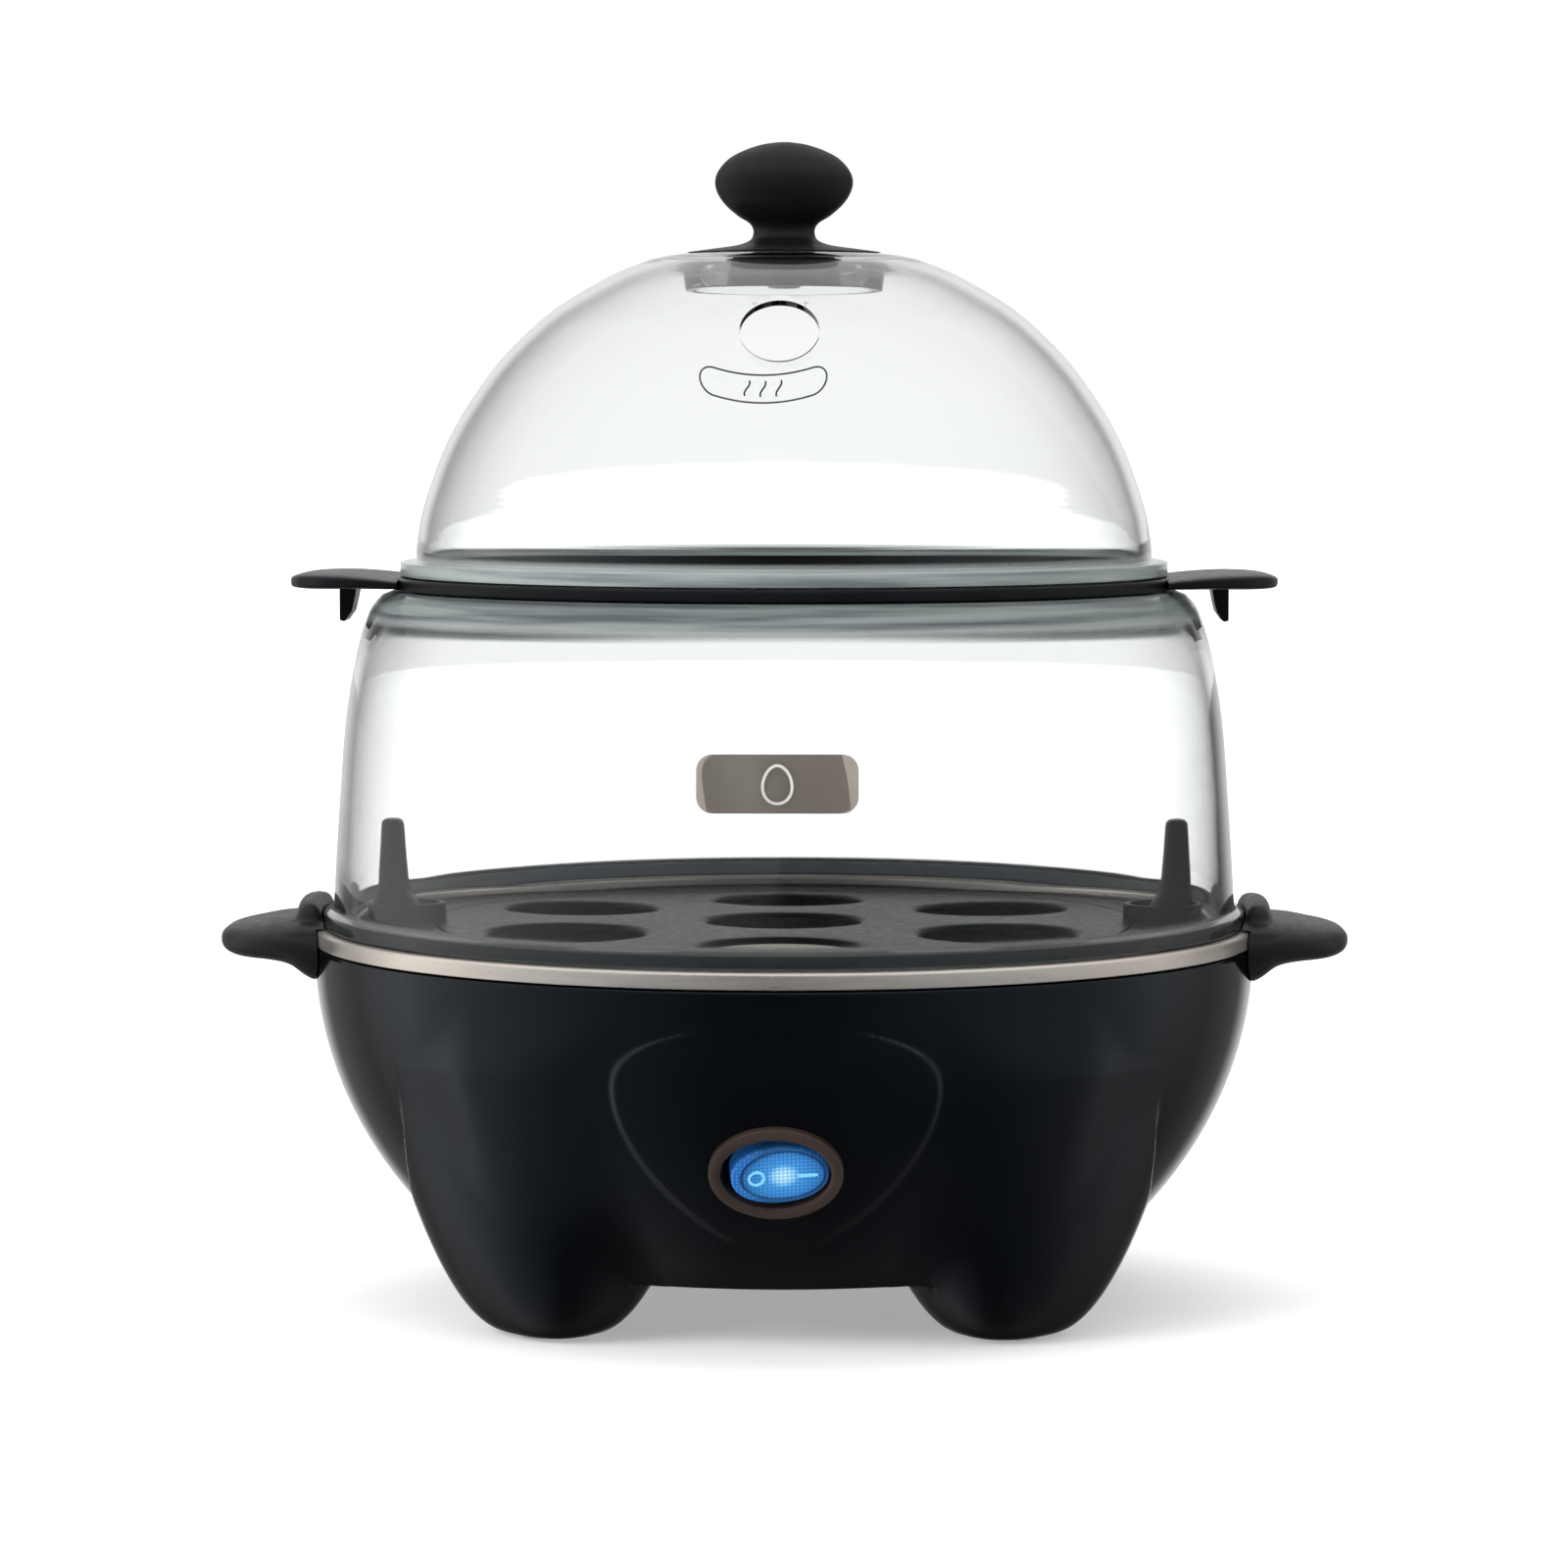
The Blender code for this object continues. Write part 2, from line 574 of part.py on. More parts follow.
def rocker_ring(n, half_x, half_y, dip):
    """One ring of the rocker at height n; dip lowers its middle to make the shallow V face."""
    return [(x, y, n - dip * (1 - abs(x) / half_x)) for x, y in oval(half_x, half_y, 24, 0.9)]


def lying(matrix):
    """The same frame with its Z axis along the switch's upright direction."""
    return matrix @ Matrix.Rotation(-math.pi / 2, 4, "X")


def bezel_shape(front):
    seat = -SEAT_DEPTH + GAP
    rings = [oval(*WELL_HALF), oval(*BEZEL_HALF), oval(*BEZEL_HALF),
             oval(BEZEL_HALF[0] - 0.9, BEZEL_HALF[1] - 0.9), oval(*WELL_HALF)]
    heights = [seat, seat, 0.5, 1.3, 1.1]
    verts = [(x, y, z) for ring, z in zip(rings, heights) for x, y in ring]
    return moved((verts, grid_faces(5, 24, True)), front)


def switch(mats):
    front = switch_frame()
    make_object("switch_bezel", bezel_shape(front), mats["bezel"])

    top = -SEAT_DEPTH
    block = prism(eight_sided(10.3, 7.9, 4.9, 6.8), HOUSING_BACK, top, front)
    housing = make_object("switch_housing", block, mats["housing"])
    pivot = front @ Matrix.Translation((0, 0, ROCKER_PIVOT))
    lever_pivot = front @ Matrix.Translation((0, 0, LEVER_PIVOT))
    cut_out(housing, prism(eight_sided(9.9, 6.9, 4.6, 6.5), HOUSING_BACK + 2.2, 4.0, front))
    slots = [prism(box_outline(x - 0.8, x + 0.8, -2.6, 2.6), HOUSING_BACK - 1, HOUSING_BACK + 4, front)
             for x in TERMINAL_X]
    cut_out(housing, rod(1.4, -7.5, 7.5, matrix=lying(pivot)), rod(1.1, -7.5, 7.5, matrix=lying(lever_pivot)),
            *slots)
    for name, x in zip(("load", "lamp", "line"), TERMINAL_X):
        blade = prism(box_outline(x - 0.4, x + 0.4, -2.2, 2.2), TERMINAL_TIP, HOUSING_BACK + 2.6, front)
        make_object("switch_terminal_" + name, blade, mats["brass"])

    tilt = pivot @ Matrix.Rotation(math.radians(ROCKER_REST), 4, "Y")
    lift = -ROCKER_PIVOT
    rings = [rocker_ring(lift - 3.6, 8.9, 5.6, 0.0), rocker_ring(lift - 3.0, 9.2, 6.1, 0.0),
             rocker_ring(lift + 1.2, 9.2, 6.1, 0.4), rocker_ring(lift + 1.9, 8.3, 5.3, 0.8),
             rocker_ring(lift + 1.7, 4.0, 2.6, 0.4)]
    rocker = make_object("switch_rocker", loft(rings, tilt), mats["lens"])
    weld_on(rocker, prism(box_outline(-2.4, 2.4, -5.2, 5.2), -2.2, 3.0, tilt))
    weld_on(rocker, rod(1.0, -7.1, 7.1, matrix=lying(tilt)), prism(oval(1.1, 1.1, 8), -5.2, -2.0, tilt))

    lean = lever_pivot @ Matrix.Rotation(math.radians(LEVER_REST), 4, "Y")
    plate = prism(box_outline(-6.6, 6.6, -2.4, 2.4), -0.3, 0.9, lean)
    lever = make_object("contact_lever", plate, mats["brass"])
    weld_on(lever, rod(0.8, -7.1, 7.1, matrix=lying(lean), segs=8))
    bulb = [(0, -4), (0.5, -4), (0.5, -2.5), (1.5, -2.2), (1.5, 2.4), (0, 3.2)]
    lamp = front @ Matrix.Translation((5.5, 0, -7.8))
    make_object("switch_lamp", turned(bulb, 10, lying(lamp)), mats["glass"])


# ---------------------------------------------------------------- trays

def hole_circle(count, radius, start):
    places = []
    for k in range(count):
        a = math.radians(start + 360 * k / count)
        places.append((radius * math.cos(a), radius * math.sin(a)))
    return places


def egg_cutters(places, low, high):
    """Each egg hole is a cylinder with a chamfered mouth."""
    outline = [(0, low - 5), (EGG_HOLE_R, low - 5), (EGG_HOLE_R, high - 1.2), (EGG_HOLE_R + 2.7, high + 1.5),
               (0, high + 1.5)]
    return [turned(outline, 16, Matrix.Translation((x, y, 0))) for x, y in places]


def lower_tray(mat):
    top, low = LOWER_TRAY_TOP, LOWER_TRAY_BOTTOM
    profile = [(0, low + 0.6), (80.0, low + 0.6), (81.0, low), (LOWER_TRAY_R, low), (LOWER_TRAY_R, top - 0.4),
               (LOWER_TRAY_R - 0.5, top), (0, top)]
    tray = make_object("lower_egg_tray", turned(profile), mat)
    cut_out(tray, *egg_cutters(hole_circle(6, LOWER_RING, 30) + [(0, 0)], low, top))
    cups, posts = [], []
    for side in (-1, 1):
        cups.append(rod(8.3, low + 1.2, top + 3.9, at=(side * (POST_X - 2.3), 0), segs=20))
        rings = []
        for z, out, inn, half in ((low + 1.4, 4.4, 5.8, 6.4), (top + 4.6, 3.6, 4.7, 6.2),
                                  (top + 9.3, 3.0, 3.2, 5.4), (POST_TOP - 2.4, 2.3, 2.3, 4.0),
                                  (POST_TOP - 0.3, 1.6, 1.6, 3.2), (POST_TOP, 0.9, 0.9, 2.0)):
            mid = POST_X + (out - inn) / 2
            rings.append([(side * (mid + x), y, z) for x, y in oval((out + inn) / 2, half, 12, 0.7)])
        posts.append(loft(rings))
    weld_on(tray, *cups)
    weld_on(tray, *posts)


def upper_tray(mat):
    top, rim = TRAY_RIM_TOP, TRAY_RIM_R
    shelf = SHELL_TOP + GAP
    profile = [(0, 138.0), (72.6, 138.0), (74.0, 139.4), (74.0, shelf), (rim, shelf), (rim, top - 0.4),
               (rim - 0.5, top), (74.4, top), (72.2, top - 1.6), (71.6, 140.4), (0, 140.4)]
    tray = make_object("upper_egg_tray", turned(profile), mat)
    cut_out(tray, *egg_cutters(hole_circle(5, UPPER_RING, -90), 138.0, 140.4))
    tabs, hooks = [], []
    for side in (-1, 1):
        rings = []
        for r, low, high, half in TAB_STATIONS:
            mid, tall = (low + high) / 2, (high - low) / 2
            rings.append([(side * r, y, mid + z) for y, z in oval(half, tall, 16, 0.5)])
        tabs.append(loft(rings))
        turn = Matrix(((side, 0, 0, 0), (0, 0, 1, 0), (0, 1, 0, 0), (0, 0, 0, 1)))
        hooks.append(prism(HOOK_OUTLINE, -5.0, 5.0, turn))
    weld_on(tray, *tabs)
    weld_on(tray, *hooks)


TAB_STATIONS = (           # radius, underside, top, half-width
    (75.6, 143.2, 145.2, 24.0), (80.0, 143.2, 145.8, 24.0), (86.0, 143.2, 146.3, 23.2),
    (91.0, 143.1, 146.4, 20.6), (95.0, 143.1, 146.2, 15.6), (97.6, 143.3, 145.6, 9.0),
    (98.4, 143.9, 145.0, 4.0),
)
HOOK_OUTLINE = (           # radius, height
    (85.0, 144.2), (88.6, 144.2), (88.6, 136.6), (87.6, 136.4), (86.2, 138.4), (85.6, 141.0),
)


# ---------------------------------------------------------------- clear housings and knob

def lower_shell(mat):
    outer = [(SHELL_FOOT_R, SHELL_FOOT_Z), (SHELL_FOOT_R, 78.4), (91.6, 79.0), (90.2, 79.4), (89.6, 90.0),
             (89.0, 99.0), (87.8, 115.0), (86.2, 126.0), (84.4, 134.0)]
    shoulder = [(82.4, 139.6), (80.2, 142.0), (77.8, SHELL_TOP)]
    lip = [(75.2, SHELL_TOP), (75.0, 140.6)]
    inner = [(77.0, 140.4), (79.4, 138.6), (82.2, 133.4), (84.0, 125.5), (85.6, 114.5), (86.8, 98.8),
             (87.6, 84.0), (87.6, SHELL_FOOT_Z)]
    make_object("lower_shell", turned(outer + shoulder + lip + inner), mat)


DOME_OUTER = (             # radius, height down the outside of the dome
    (20.0, 209.5), (24.2, 208.9), (28.1, 207.8), (35.2, 204.8), (45.0, 199.0), (52.0, 193.1),
    (57.5, 187.2), (61.8, 181.3), (65.5, 175.4), (68.3, 169.6), (70.5, 163.7), (72.3, 157.8),
    (73.3, 151.9),
)
DOME_WALL = 2.2
VENT_R = 7.6


def offset_inwards(points, distance):
    """The same curve moved towards the dome's inside along its own normals."""
    result = []
    for k, (r, z) in enumerate(points):
        before, after = points[max(k - 1, 0)], points[min(k + 1, len(points) - 1)]
        dr, dz = after[0] - before[0], after[1] - before[1]
        size = math.hypot(dr, dz)
        result.append((r + dz / size * distance, z - dr / size * distance))
    return result


def vent_frame():
    """Local z points out of the round steam vent, forwards and slightly up."""
    return Matrix.Translation((0, -46.0, 192.0)) @ Matrix.Rotation(math.radians(90 - 20), 4, "X")


def dome_lid(mat):
    foot = [(73.5, 148.7), (DOME_FOOT_R, 148.3), (DOME_FOOT_R, DOME_FOOT_Z), (71.2, DOME_FOOT_Z)]
    inner = offset_inwards(DOME_OUTER[1::2], DOME_WALL)[::-1]
    ribs = [(20.4, 206.9), (19.6, 202.0), (18.0, 202.0), (17.8, 207.1), (KNOB_SEAT_R, 207.1)]
    top = [(KNOB_SEAT_R, DOME_TOP)]
    dome = make_object("dome_lid", turned(top + list(DOME_OUTER) + foot + inner + ribs), mat)
    cut_out(dome, rod(VENT_R, -8, 24, segs=20, matrix=vent_frame()))


KNOB_PROFILE = (           # height, half-width across the front, depth as a share of that
    (DOME_TOP + GAP, 19.3, 1.0), (210.4, 15.0, 1.0), (211.2, 9.4, 1.0), (212.2, 6.8, 1.0),
    (213.4, 6.15, 0.95), (214.6, 6.25, 0.9), (215.7, 7.1, 0.86), (217.0, 9.2, 0.78),
    (219.2, 11.7, 0.72), (221.6, 13.3, 0.68), (223.9, 13.75, 0.66), (226.1, 13.0, 0.66),
    (228.4, 10.9, 0.68), (230.0, 7.9, 0.74), (231.1, 4.6, 0.84), (231.6, 1.4, 1.0),
)


def knob(knob_mat, seal_mat, steel):
    rings = []
    for z, half, share in KNOB_PROFILE:
        rings.append([(x, y, z) for x, y in oval(half, half * share, 20)])
    body = make_object("lid_knob", loft(rings), knob_mat)
    cut_out(body, rod(1.9, DOME_TOP - 3, 220.0, segs=10))
    washer = [(2.6, 205.4), (11.6, 205.4), (11.6, 206.8), (2.6, 206.8)]
    make_object("knob_washer", turned(washer, 24), seal_mat)
    screw = [(0, 202.4), (2.6, 202.4), (3.6, 203.2), (3.6, 205.1), (1.6, 205.1), (1.6, 219.0), (0, 219.0)]
    make_object("knob_screw", turned(screw, 12), steel)


# ---------------------------------------------------------------- assembly

def main():
    clear_scene()
    gloss = make_material("base_gloss_black", (0.008, 0.010, 0.014), 0.12)
    soft = make_material("soft_black", (0.012, 0.013, 0.014), 0.45)
    tray = make_material("tray_black", (0.010, 0.011, 0.012), 0.35)
    clear = make_material("clear_plastic", (0.92, 0.94, 0.94), 0.03, alpha=0.25)
    steel = make_material("stainless", (0.62, 0.58, 0.54), 0.28, 1.0)
    zinc = make_material("zinc_steel", (0.55, 0.56, 0.58), 0.35, 1.0)
    alloy = make_material("cast_alloy", (0.60, 0.60, 0.60), 0.5, 1.0)
    brass = make_material("brass", (0.70, 0.50, 0.22), 0.3, 1.0)
    rubber = make_material("rubber", (0.02, 0.02, 0.02), 0.8)
    silicone = make_material("silicone", (0.45, 0.44, 0.42), 0.6)
    ceramic = make_material("ceramic", (0.80, 0.77, 0.70), 0.5)
    switch_mats = {
        "bezel": make_material("bezel_bronze", (0.045, 0.030, 0.026), 0.3),
        "housing": make_material("nylon_black", (0.015, 0.015, 0.015), 0.5),
        "lens": make_material("blue_lens", (0.02, 0.20, 0.75), 0.15),
        "brass": brass,
        "glass": make_material("lamp_glass", (0.75, 0.90, 1.0), 0.05, alpha=0.5),
        "wire_red": make_material("wire_red", (0.45, 0.02, 0.02), 0.5),
        "wire_black": make_material("wire_black", (0.02, 0.02, 0.02), 0.5),
        "wire_blue": make_material("wire_blue", (0.03, 0.10, 0.40), 0.5),
    }
    base_shell(gloss)
    underside(switch_mats["housing"], rubber, zinc)
    cord_gland(soft)
    for name, side in (("left", -1), ("right", 1)):
        side_handle("handle_" + name, side, soft)
        handle_screw("handle_screw_" + name, side, zinc)
    heating_pan(steel)
    pan_gasket(silicone)
    heater(alloy, zinc, ceramic, brass)
    electrics(switch_mats)
    switch(switch_mats)
    lower_tray(tray)
    lower_shell(clear)
    upper_tray(tray)
    dome_lid(clear)
    knob(soft, rubber, zinc)


main()
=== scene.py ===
"""Looks of the two-tier egg cooker. Lengths are in millimetres unless a name says otherwise."""
import json
import math

import bmesh
import bpy
import numpy as np
from mathutils import Matrix, Vector


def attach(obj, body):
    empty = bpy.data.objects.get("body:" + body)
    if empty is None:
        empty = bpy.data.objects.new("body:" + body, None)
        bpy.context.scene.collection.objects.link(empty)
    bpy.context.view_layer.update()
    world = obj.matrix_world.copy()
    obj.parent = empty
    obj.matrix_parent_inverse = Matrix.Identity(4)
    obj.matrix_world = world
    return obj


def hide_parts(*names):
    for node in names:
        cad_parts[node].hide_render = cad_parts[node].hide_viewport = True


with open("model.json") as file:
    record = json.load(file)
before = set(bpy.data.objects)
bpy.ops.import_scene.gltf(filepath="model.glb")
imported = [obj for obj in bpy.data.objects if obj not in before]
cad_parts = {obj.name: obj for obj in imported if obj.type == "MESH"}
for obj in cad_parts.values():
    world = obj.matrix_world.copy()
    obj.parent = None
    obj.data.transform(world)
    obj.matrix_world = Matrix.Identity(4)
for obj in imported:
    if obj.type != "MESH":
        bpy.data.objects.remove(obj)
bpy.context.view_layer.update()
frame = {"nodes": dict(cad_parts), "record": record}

MM = 0.001
GAP = 0.3                  # clearance between neighbouring solids
SEGS = 180                 # steps of a full turn
OUTSIDE = 1e3              # a distance that never counts as inside

# ---- the same driving sizes as the CAD ----
RIM_R, RIM_Z = 94.0, 72.2
BOWL_EQUATOR, BOWL_DEPTH = 71.5, 82.0
WALL, UNDERSIDE, FLOOR_TOP = 2.5, 12.0, 16.5
COVER_R, LIP_R, LIP_Z = 42.0, 36.0, 14.0
LEG_REACH, LEG_TOE, LEG_CURVE, LEG_BLEND_Z = 62.9, 8.3, 0.066, 54.0
LEG_FLANK = ((0, 40), (20, 30), (24, 22.5), (31, 18.8), (38, 17.0), (52, 12.6), (80, 12.6))
LEG_SQUASH, LEG_SQUARENESS, LEG_BOTTOM = 0.80, 2.5, 0.4
PAD_R, PAD_TOP = 6.8, 3.0
PANEL_TOP, PANEL_WIDE_Z, PANEL_BOTTOM = 66.0, 53.0, 19.0
PANEL_HALF, PANEL_RISE = 31.0, 0.8
SWITCH_Z, SWITCH_TILT = 37.7, math.radians(26.0)
GLAND_Z, GLAND_TILT = 34.0, math.radians(30.0)
BEZEL_HALF, WELL_HALF, SEAT_DEPTH = (12.6, 10.0), (10.3, 7.6), 1.6
ROCKER_PIVOT, ROCKER_REST = -5.4, 7.5
PAN_TOP, PAN_STEP_R, SEAT_Z, PAN_FLOOR = 75.7, 86.0, 72.0, 63.5
LOWER_TRAY_R, LOWER_TRAY_TOP, LOWER_TRAY_LOW = 85.3, 74.3, 72.3
LOWER_RING, UPPER_RING, EGG_HOLE_R = 49.0, 43.0, 15.5
POST_X, POST_TOP = 79.0, 96.4
SHELL_FOOT_R, SHELL_FOOT_Z, SHELL_TOP = 92.2, 76.0, 142.7
TRAY_RIM_R, TRAY_RIM_TOP = 77.8, 145.4
DOME_FOOT_R, DOME_FOOT_Z, DOME_TOP = 76.6, 145.7, 209.5
VENT_AT, VENT_LEAN, VENT_R, KNOB_SEAT_R = (0, -46.0, 192.0), math.radians(20.0), 7.6, 2.6
HANDLE_PEG_Z, HANDLE_PEG_R, BOLT_X = 68.0, 2.6, 57.0
GLAND_SEAT_R, GLAND_HOLE_R, BOLT_HOLE_R = 7.4, 5.0, 2.2
UPPER_TRAY_LOW, UPPER_TRAY_FLOOR, KNOB_TOP = 138.0, 140.4, 231.6


# ---------------------------------------------------------------- mesh helpers

def outward(shape):
    """The shape with its faces turned outwards."""
    verts, faces = shape
    volume = 0.0
    for face in faces:
        first = Vector(verts[face[0]])
        for i in range(1, len(face) - 1):
            volume += first.dot(Vector(verts[face[i]]).cross(Vector(verts[face[i + 1]])))
    return (verts, faces) if volume > 0 else (verts, [tuple(reversed(face)) for face in faces])


def moved(shape, matrix):
    verts, faces = shape
    return outward(([matrix @ Vector(v) for v in verts], faces))


def merged(shapes):
    """Several shapes as one list of vertices and faces."""
    verts, faces = [], []
    for points, polygons in shapes:
        start = len(verts)
        verts += list(points)
        faces += [tuple(start + i for i in polygon) for polygon in polygons]
    return verts, faces


def make(name, shape, mat, sharp=32):
    """A mesh object in metres, smooth but for edges sharper than the angle."""
    bm = bmesh.new()
    made = [bm.verts.new(Vector(v) * MM) for v in shape[0]]
    for face in shape[1]:
        bm.faces.new([made[i] for i in face])
    mesh = bpy.data.meshes.new(name)
    bm.to_mesh(mesh)
    bm.free()
    mesh.shade_smooth()
    mesh.set_sharp_from_angle(angle=math.radians(sharp))
    obj = bpy.data.objects.new(name, mesh)
    bpy.context.scene.collection.objects.link(obj)
    if mat:
        mesh.materials.append(mat)
    return obj


def boolean(obj, operation, shapes, sharp=32):
    """Cuts or joins shapes and applies the result at once."""
    tool = make("tool", merged(shapes), None)
    mod = obj.modifiers.new(operation, "BOOLEAN")
    mod.object, mod.operation, mod.solver = tool, operation, "EXACT"
    settle(obj, sharp)
    bpy.data.objects.remove(tool)


def settle(obj, sharp=32):
    """Applies every modifier on the object."""
    graph = bpy.context.evaluated_depsgraph_get()
    mesh = bpy.data.meshes.new_from_object(obj.evaluated_get(graph))
    obj.modifiers.clear()
    obj.data = mesh
    mesh.shade_smooth()
    mesh.set_sharp_from_angle(angle=math.radians(sharp))


def grid_faces(rows, columns, wrap_rows):
    """Quads between rings of points. Each ring is closed; the rows close only on request."""
    faces = []
    for k in range(rows if wrap_rows else rows - 1):
        low, high = k * columns, ((k + 1) % rows) * columns
        for i in range(columns):
            j = (i + 1) % columns
            faces.append((low + i, low + j, high + j, high + i))
    return faces


def turned(profile, segs=SEGS, matrix=Matrix()):
    """An (r, z) outline spun round Z. Ends on the axis close with fans."""
    verts = []
    solid = profile[0][0] == 0.0
    rows = profile[1:-1] if solid else profile
    for r, z in rows:
        for i in range(segs):
            a = 2 * math.pi * i / segs
            verts.append((r * math.cos(a), r * math.sin(a), z))
    count = len(rows)
    faces = grid_faces(count, segs, not solid)
    if solid:
        first, last = len(verts), (count - 1) * segs
        verts += [(0, 0, profile[0][1]), (0, 0, profile[-1][1])]
        for i in range(segs):
            j = (i + 1) % segs
            faces.append((first, j, i))
            faces.append((first + 1, last + i, last + j))
    return moved((verts, faces), matrix)


def rounded(points, steps=4):
    """An outline whose corners given as (r, z, fillet) are rounded by arcs."""
    result = []
    count = len(points)
    for k, point in enumerate(points):
        here = Vector(point[:2])
        fillet = point[2] if len(point) > 2 else 0.0
        if fillet <= 0:
            result.append(tuple(here))
            continue
        back = (Vector(points[k - 1][:2]) - here)
        ahead = (Vector(points[(k + 1) % count][:2]) - here)
        half = back.angle(ahead) / 2
        cut = min(fillet / math.tan(half), back.length * 0.49, ahead.length * 0.49)
        start, stop = here + back.normalized() * cut, here + ahead.normalized() * cut
        for s in range(steps + 1):
            t = s / steps
            result.append(tuple(start * (1 - t) ** 2 + here * 2 * t * (1 - t) + stop * t * t))
    return result


def eased(points, per_span=5):
    """A smooth curve through the points, ends included."""
    ends = [points[0]] + list(points) + [points[-1]]
    result = []
    for k in range(1, len(ends) - 2):
        p0, p1, p2, p3 = (np.array(p, float) for p in ends[k - 1:k + 3])
        for s in range(per_span):
            t = s / per_span
            result.append(tuple(0.5 * (2 * p1 + (p2 - p0) * t + (2 * p0 - 5 * p1 + 4 * p2 - p3) * t * t
                                       + (3 * p1 - p0 - 3 * p2 + p3) * t ** 3)))
    result.append(tuple(points[-1]))
    return result


def rod(radius, low, high, at=(0, 0), segs=32, matrix=None):
    """A cylinder along Z, or along the matrix's Z."""
    where = matrix if matrix is not None else Matrix.Translation((at[0], at[1], 0))
    return turned([(0.0, low), (radius, low), (radius, high), (0.0, high)], segs, where)


def loft(rings, matrix=Matrix()):
    """A solid through rings of equally many points, closed flat at both ends."""
    columns = len(rings[0])
    verts = [p for ring in rings for p in ring]
    faces = grid_faces(len(rings), columns, False)
    faces.append(tuple(reversed(range(columns))))
    last = (len(rings) - 1) * columns
    faces.append(tuple(last + i for i in range(columns)))
    return moved((verts, faces), matrix)


def prism(outline, low, high, matrix=Matrix()):
    """An outline in X and Y drawn out from low to high."""
    return loft([[(x, y, z) for x, y in outline] for z in (low, high)], matrix)


def oval(half_x, half_y, count=64, power=1.0):
    """An ellipse; a power below 1 makes it squarer."""
    points = []
    for i in range(count):
        a = 2 * math.pi * i / count
        c, s = math.cos(a), math.sin(a)
        points.append((half_x * math.copysign(abs(c) ** power, c),
                       half_y * math.copysign(abs(s) ** power, s)))
    return points


def box_outline(x0, x1, y0, y1):
    return [(x0, y0), (x1, y0), (x1, y1), (x0, y1)]


def eight_sided(half_x, half_y, side_y, top_x):
    return [(half_x, -side_y), (half_x, side_y), (top_x, half_y), (-top_x, half_y),
            (-half_x, side_y), (-half_x, -side_y), (-top_x, -half_y), (top_x, -half_y)]


def stand_in(obj, body, slot, *nodes):
    """Says which body a piece moves with and which CAD nodes it replaces; the slot it is given is not used.
    """
    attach(obj, body)
    if nodes:
        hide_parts(*nodes)


# ---------------------------------------------------------------- materials

NOISE_SPAN = (0.3, 0.7)    # where most of a noise texture's values lie


class Graph:
    """Short calls for building a node tree."""

    def __init__(self, tree):
        self.tree = tree

    def feed(self, socket, value):
        """Links an output to a socket, or sets the socket to a value."""
        if isinstance(value, bpy.types.NodeSocket):
            self.tree.links.new(value, socket)
        else:
            socket.default_value = value

    def add(self, kind, **values):
        node = self.tree.nodes.new("ShaderNode" + kind)
        for key, value in values.items():
            if hasattr(node, key):
                setattr(node, key, value)
            else:
                self.feed(node.inputs[key.replace("_", " ")], value)
        return node

    def parts(self, vector):
        """The x, y and z of a vector."""
        node = self.add("SeparateXYZ")
        self.feed(node.inputs[0], vector)
        return list(node.outputs)

    def math(self, operation, *terms):
        node = self.add("Math", operation=operation)
        for socket, term in zip(node.inputs, terms):
            self.feed(socket, term)
        return node.outputs[0]

    def ramp(self, source, low, high, from_low=0.0, from_high=1.0, **options):
        """A value that goes from low to high as the source goes over its own range."""
        node = self.add("MapRange", **options)
        for socket, value in zip(node.inputs, (source, from_low, from_high, low, high)):
            self.feed(socket, value)
        return node.outputs[0]

    def stops(self, source, stops):
        """A colour, or a grey level, that follows the source through (position, value) stops."""
        ramp = self.add("ValToRGB")
        self.feed(ramp.inputs[0], source)
        points = ramp.color_ramp.elements
        for k, (position, value) in enumerate(stops):
            point = points[k] if k < 2 else points.new(position)
            point.position = position
            point.color = (*(value if isinstance(value, tuple) else (value,) * 3), 1.0)
        return ramp.outputs["Color"]

    def mix(self, factor, first, second):
        """A colour between two colours."""
        node = self.add("Mix", data_type="RGBA")
        for key, value in (("Factor", factor), ("A", first), ("B", second)):
            self.feed(node.inputs[key], value)
        return next(output for output in node.outputs if output.type == "RGBA")

    def choose(self, factor, first, second):
        """A shader between two shaders."""
        node = self.add("MixShader")
        for socket, value in zip(node.inputs, (factor, first, second)):
            self.feed(socket, value)
        return node.outputs[0]


class Nodes(Graph):
    """The node tree of a new material."""

    def __init__(self, name, **values):
        self.mat = bpy.data.materials.new(name)
        self.mat.use_nodes = True
        super().__init__(self.mat.node_tree)
        self.shader = self.tree.nodes["Principled BSDF"]
        for key, value in values.items():
            self.to(value, key.replace("_", " "))

    def to(self, value, socket):
        self.feed(self.shader.inputs[socket], value)

    def place(self):
        return self.add("TexCoord").outputs["Object"]

    def noise(self, scale, detail=2.0, vector=None, roughness=0.5):
        node = self.add("TexNoise", Scale=scale, Detail=detail, Roughness=roughness)
        self.feed(node.inputs["Vector"], self.place() if vector is None else vector)
        return node.outputs["Fac"]

    def speckle(self, scale, detail, low, high):
        """Noise stretched over the range from low to high."""
        return self.ramp(self.noise(scale, detail), low, high, *NOISE_SPAN)

    def tint(self, source, dark, light):
        self.to(self.mix(source, (*dark, 1.0), (*light, 1.0)), "Base Color")

    def bump(self, source, strength, distance):
        node = self.add("Bump", Strength=strength, Distance=distance, Height=source)
        self.to(node.outputs["Normal"], "Normal")


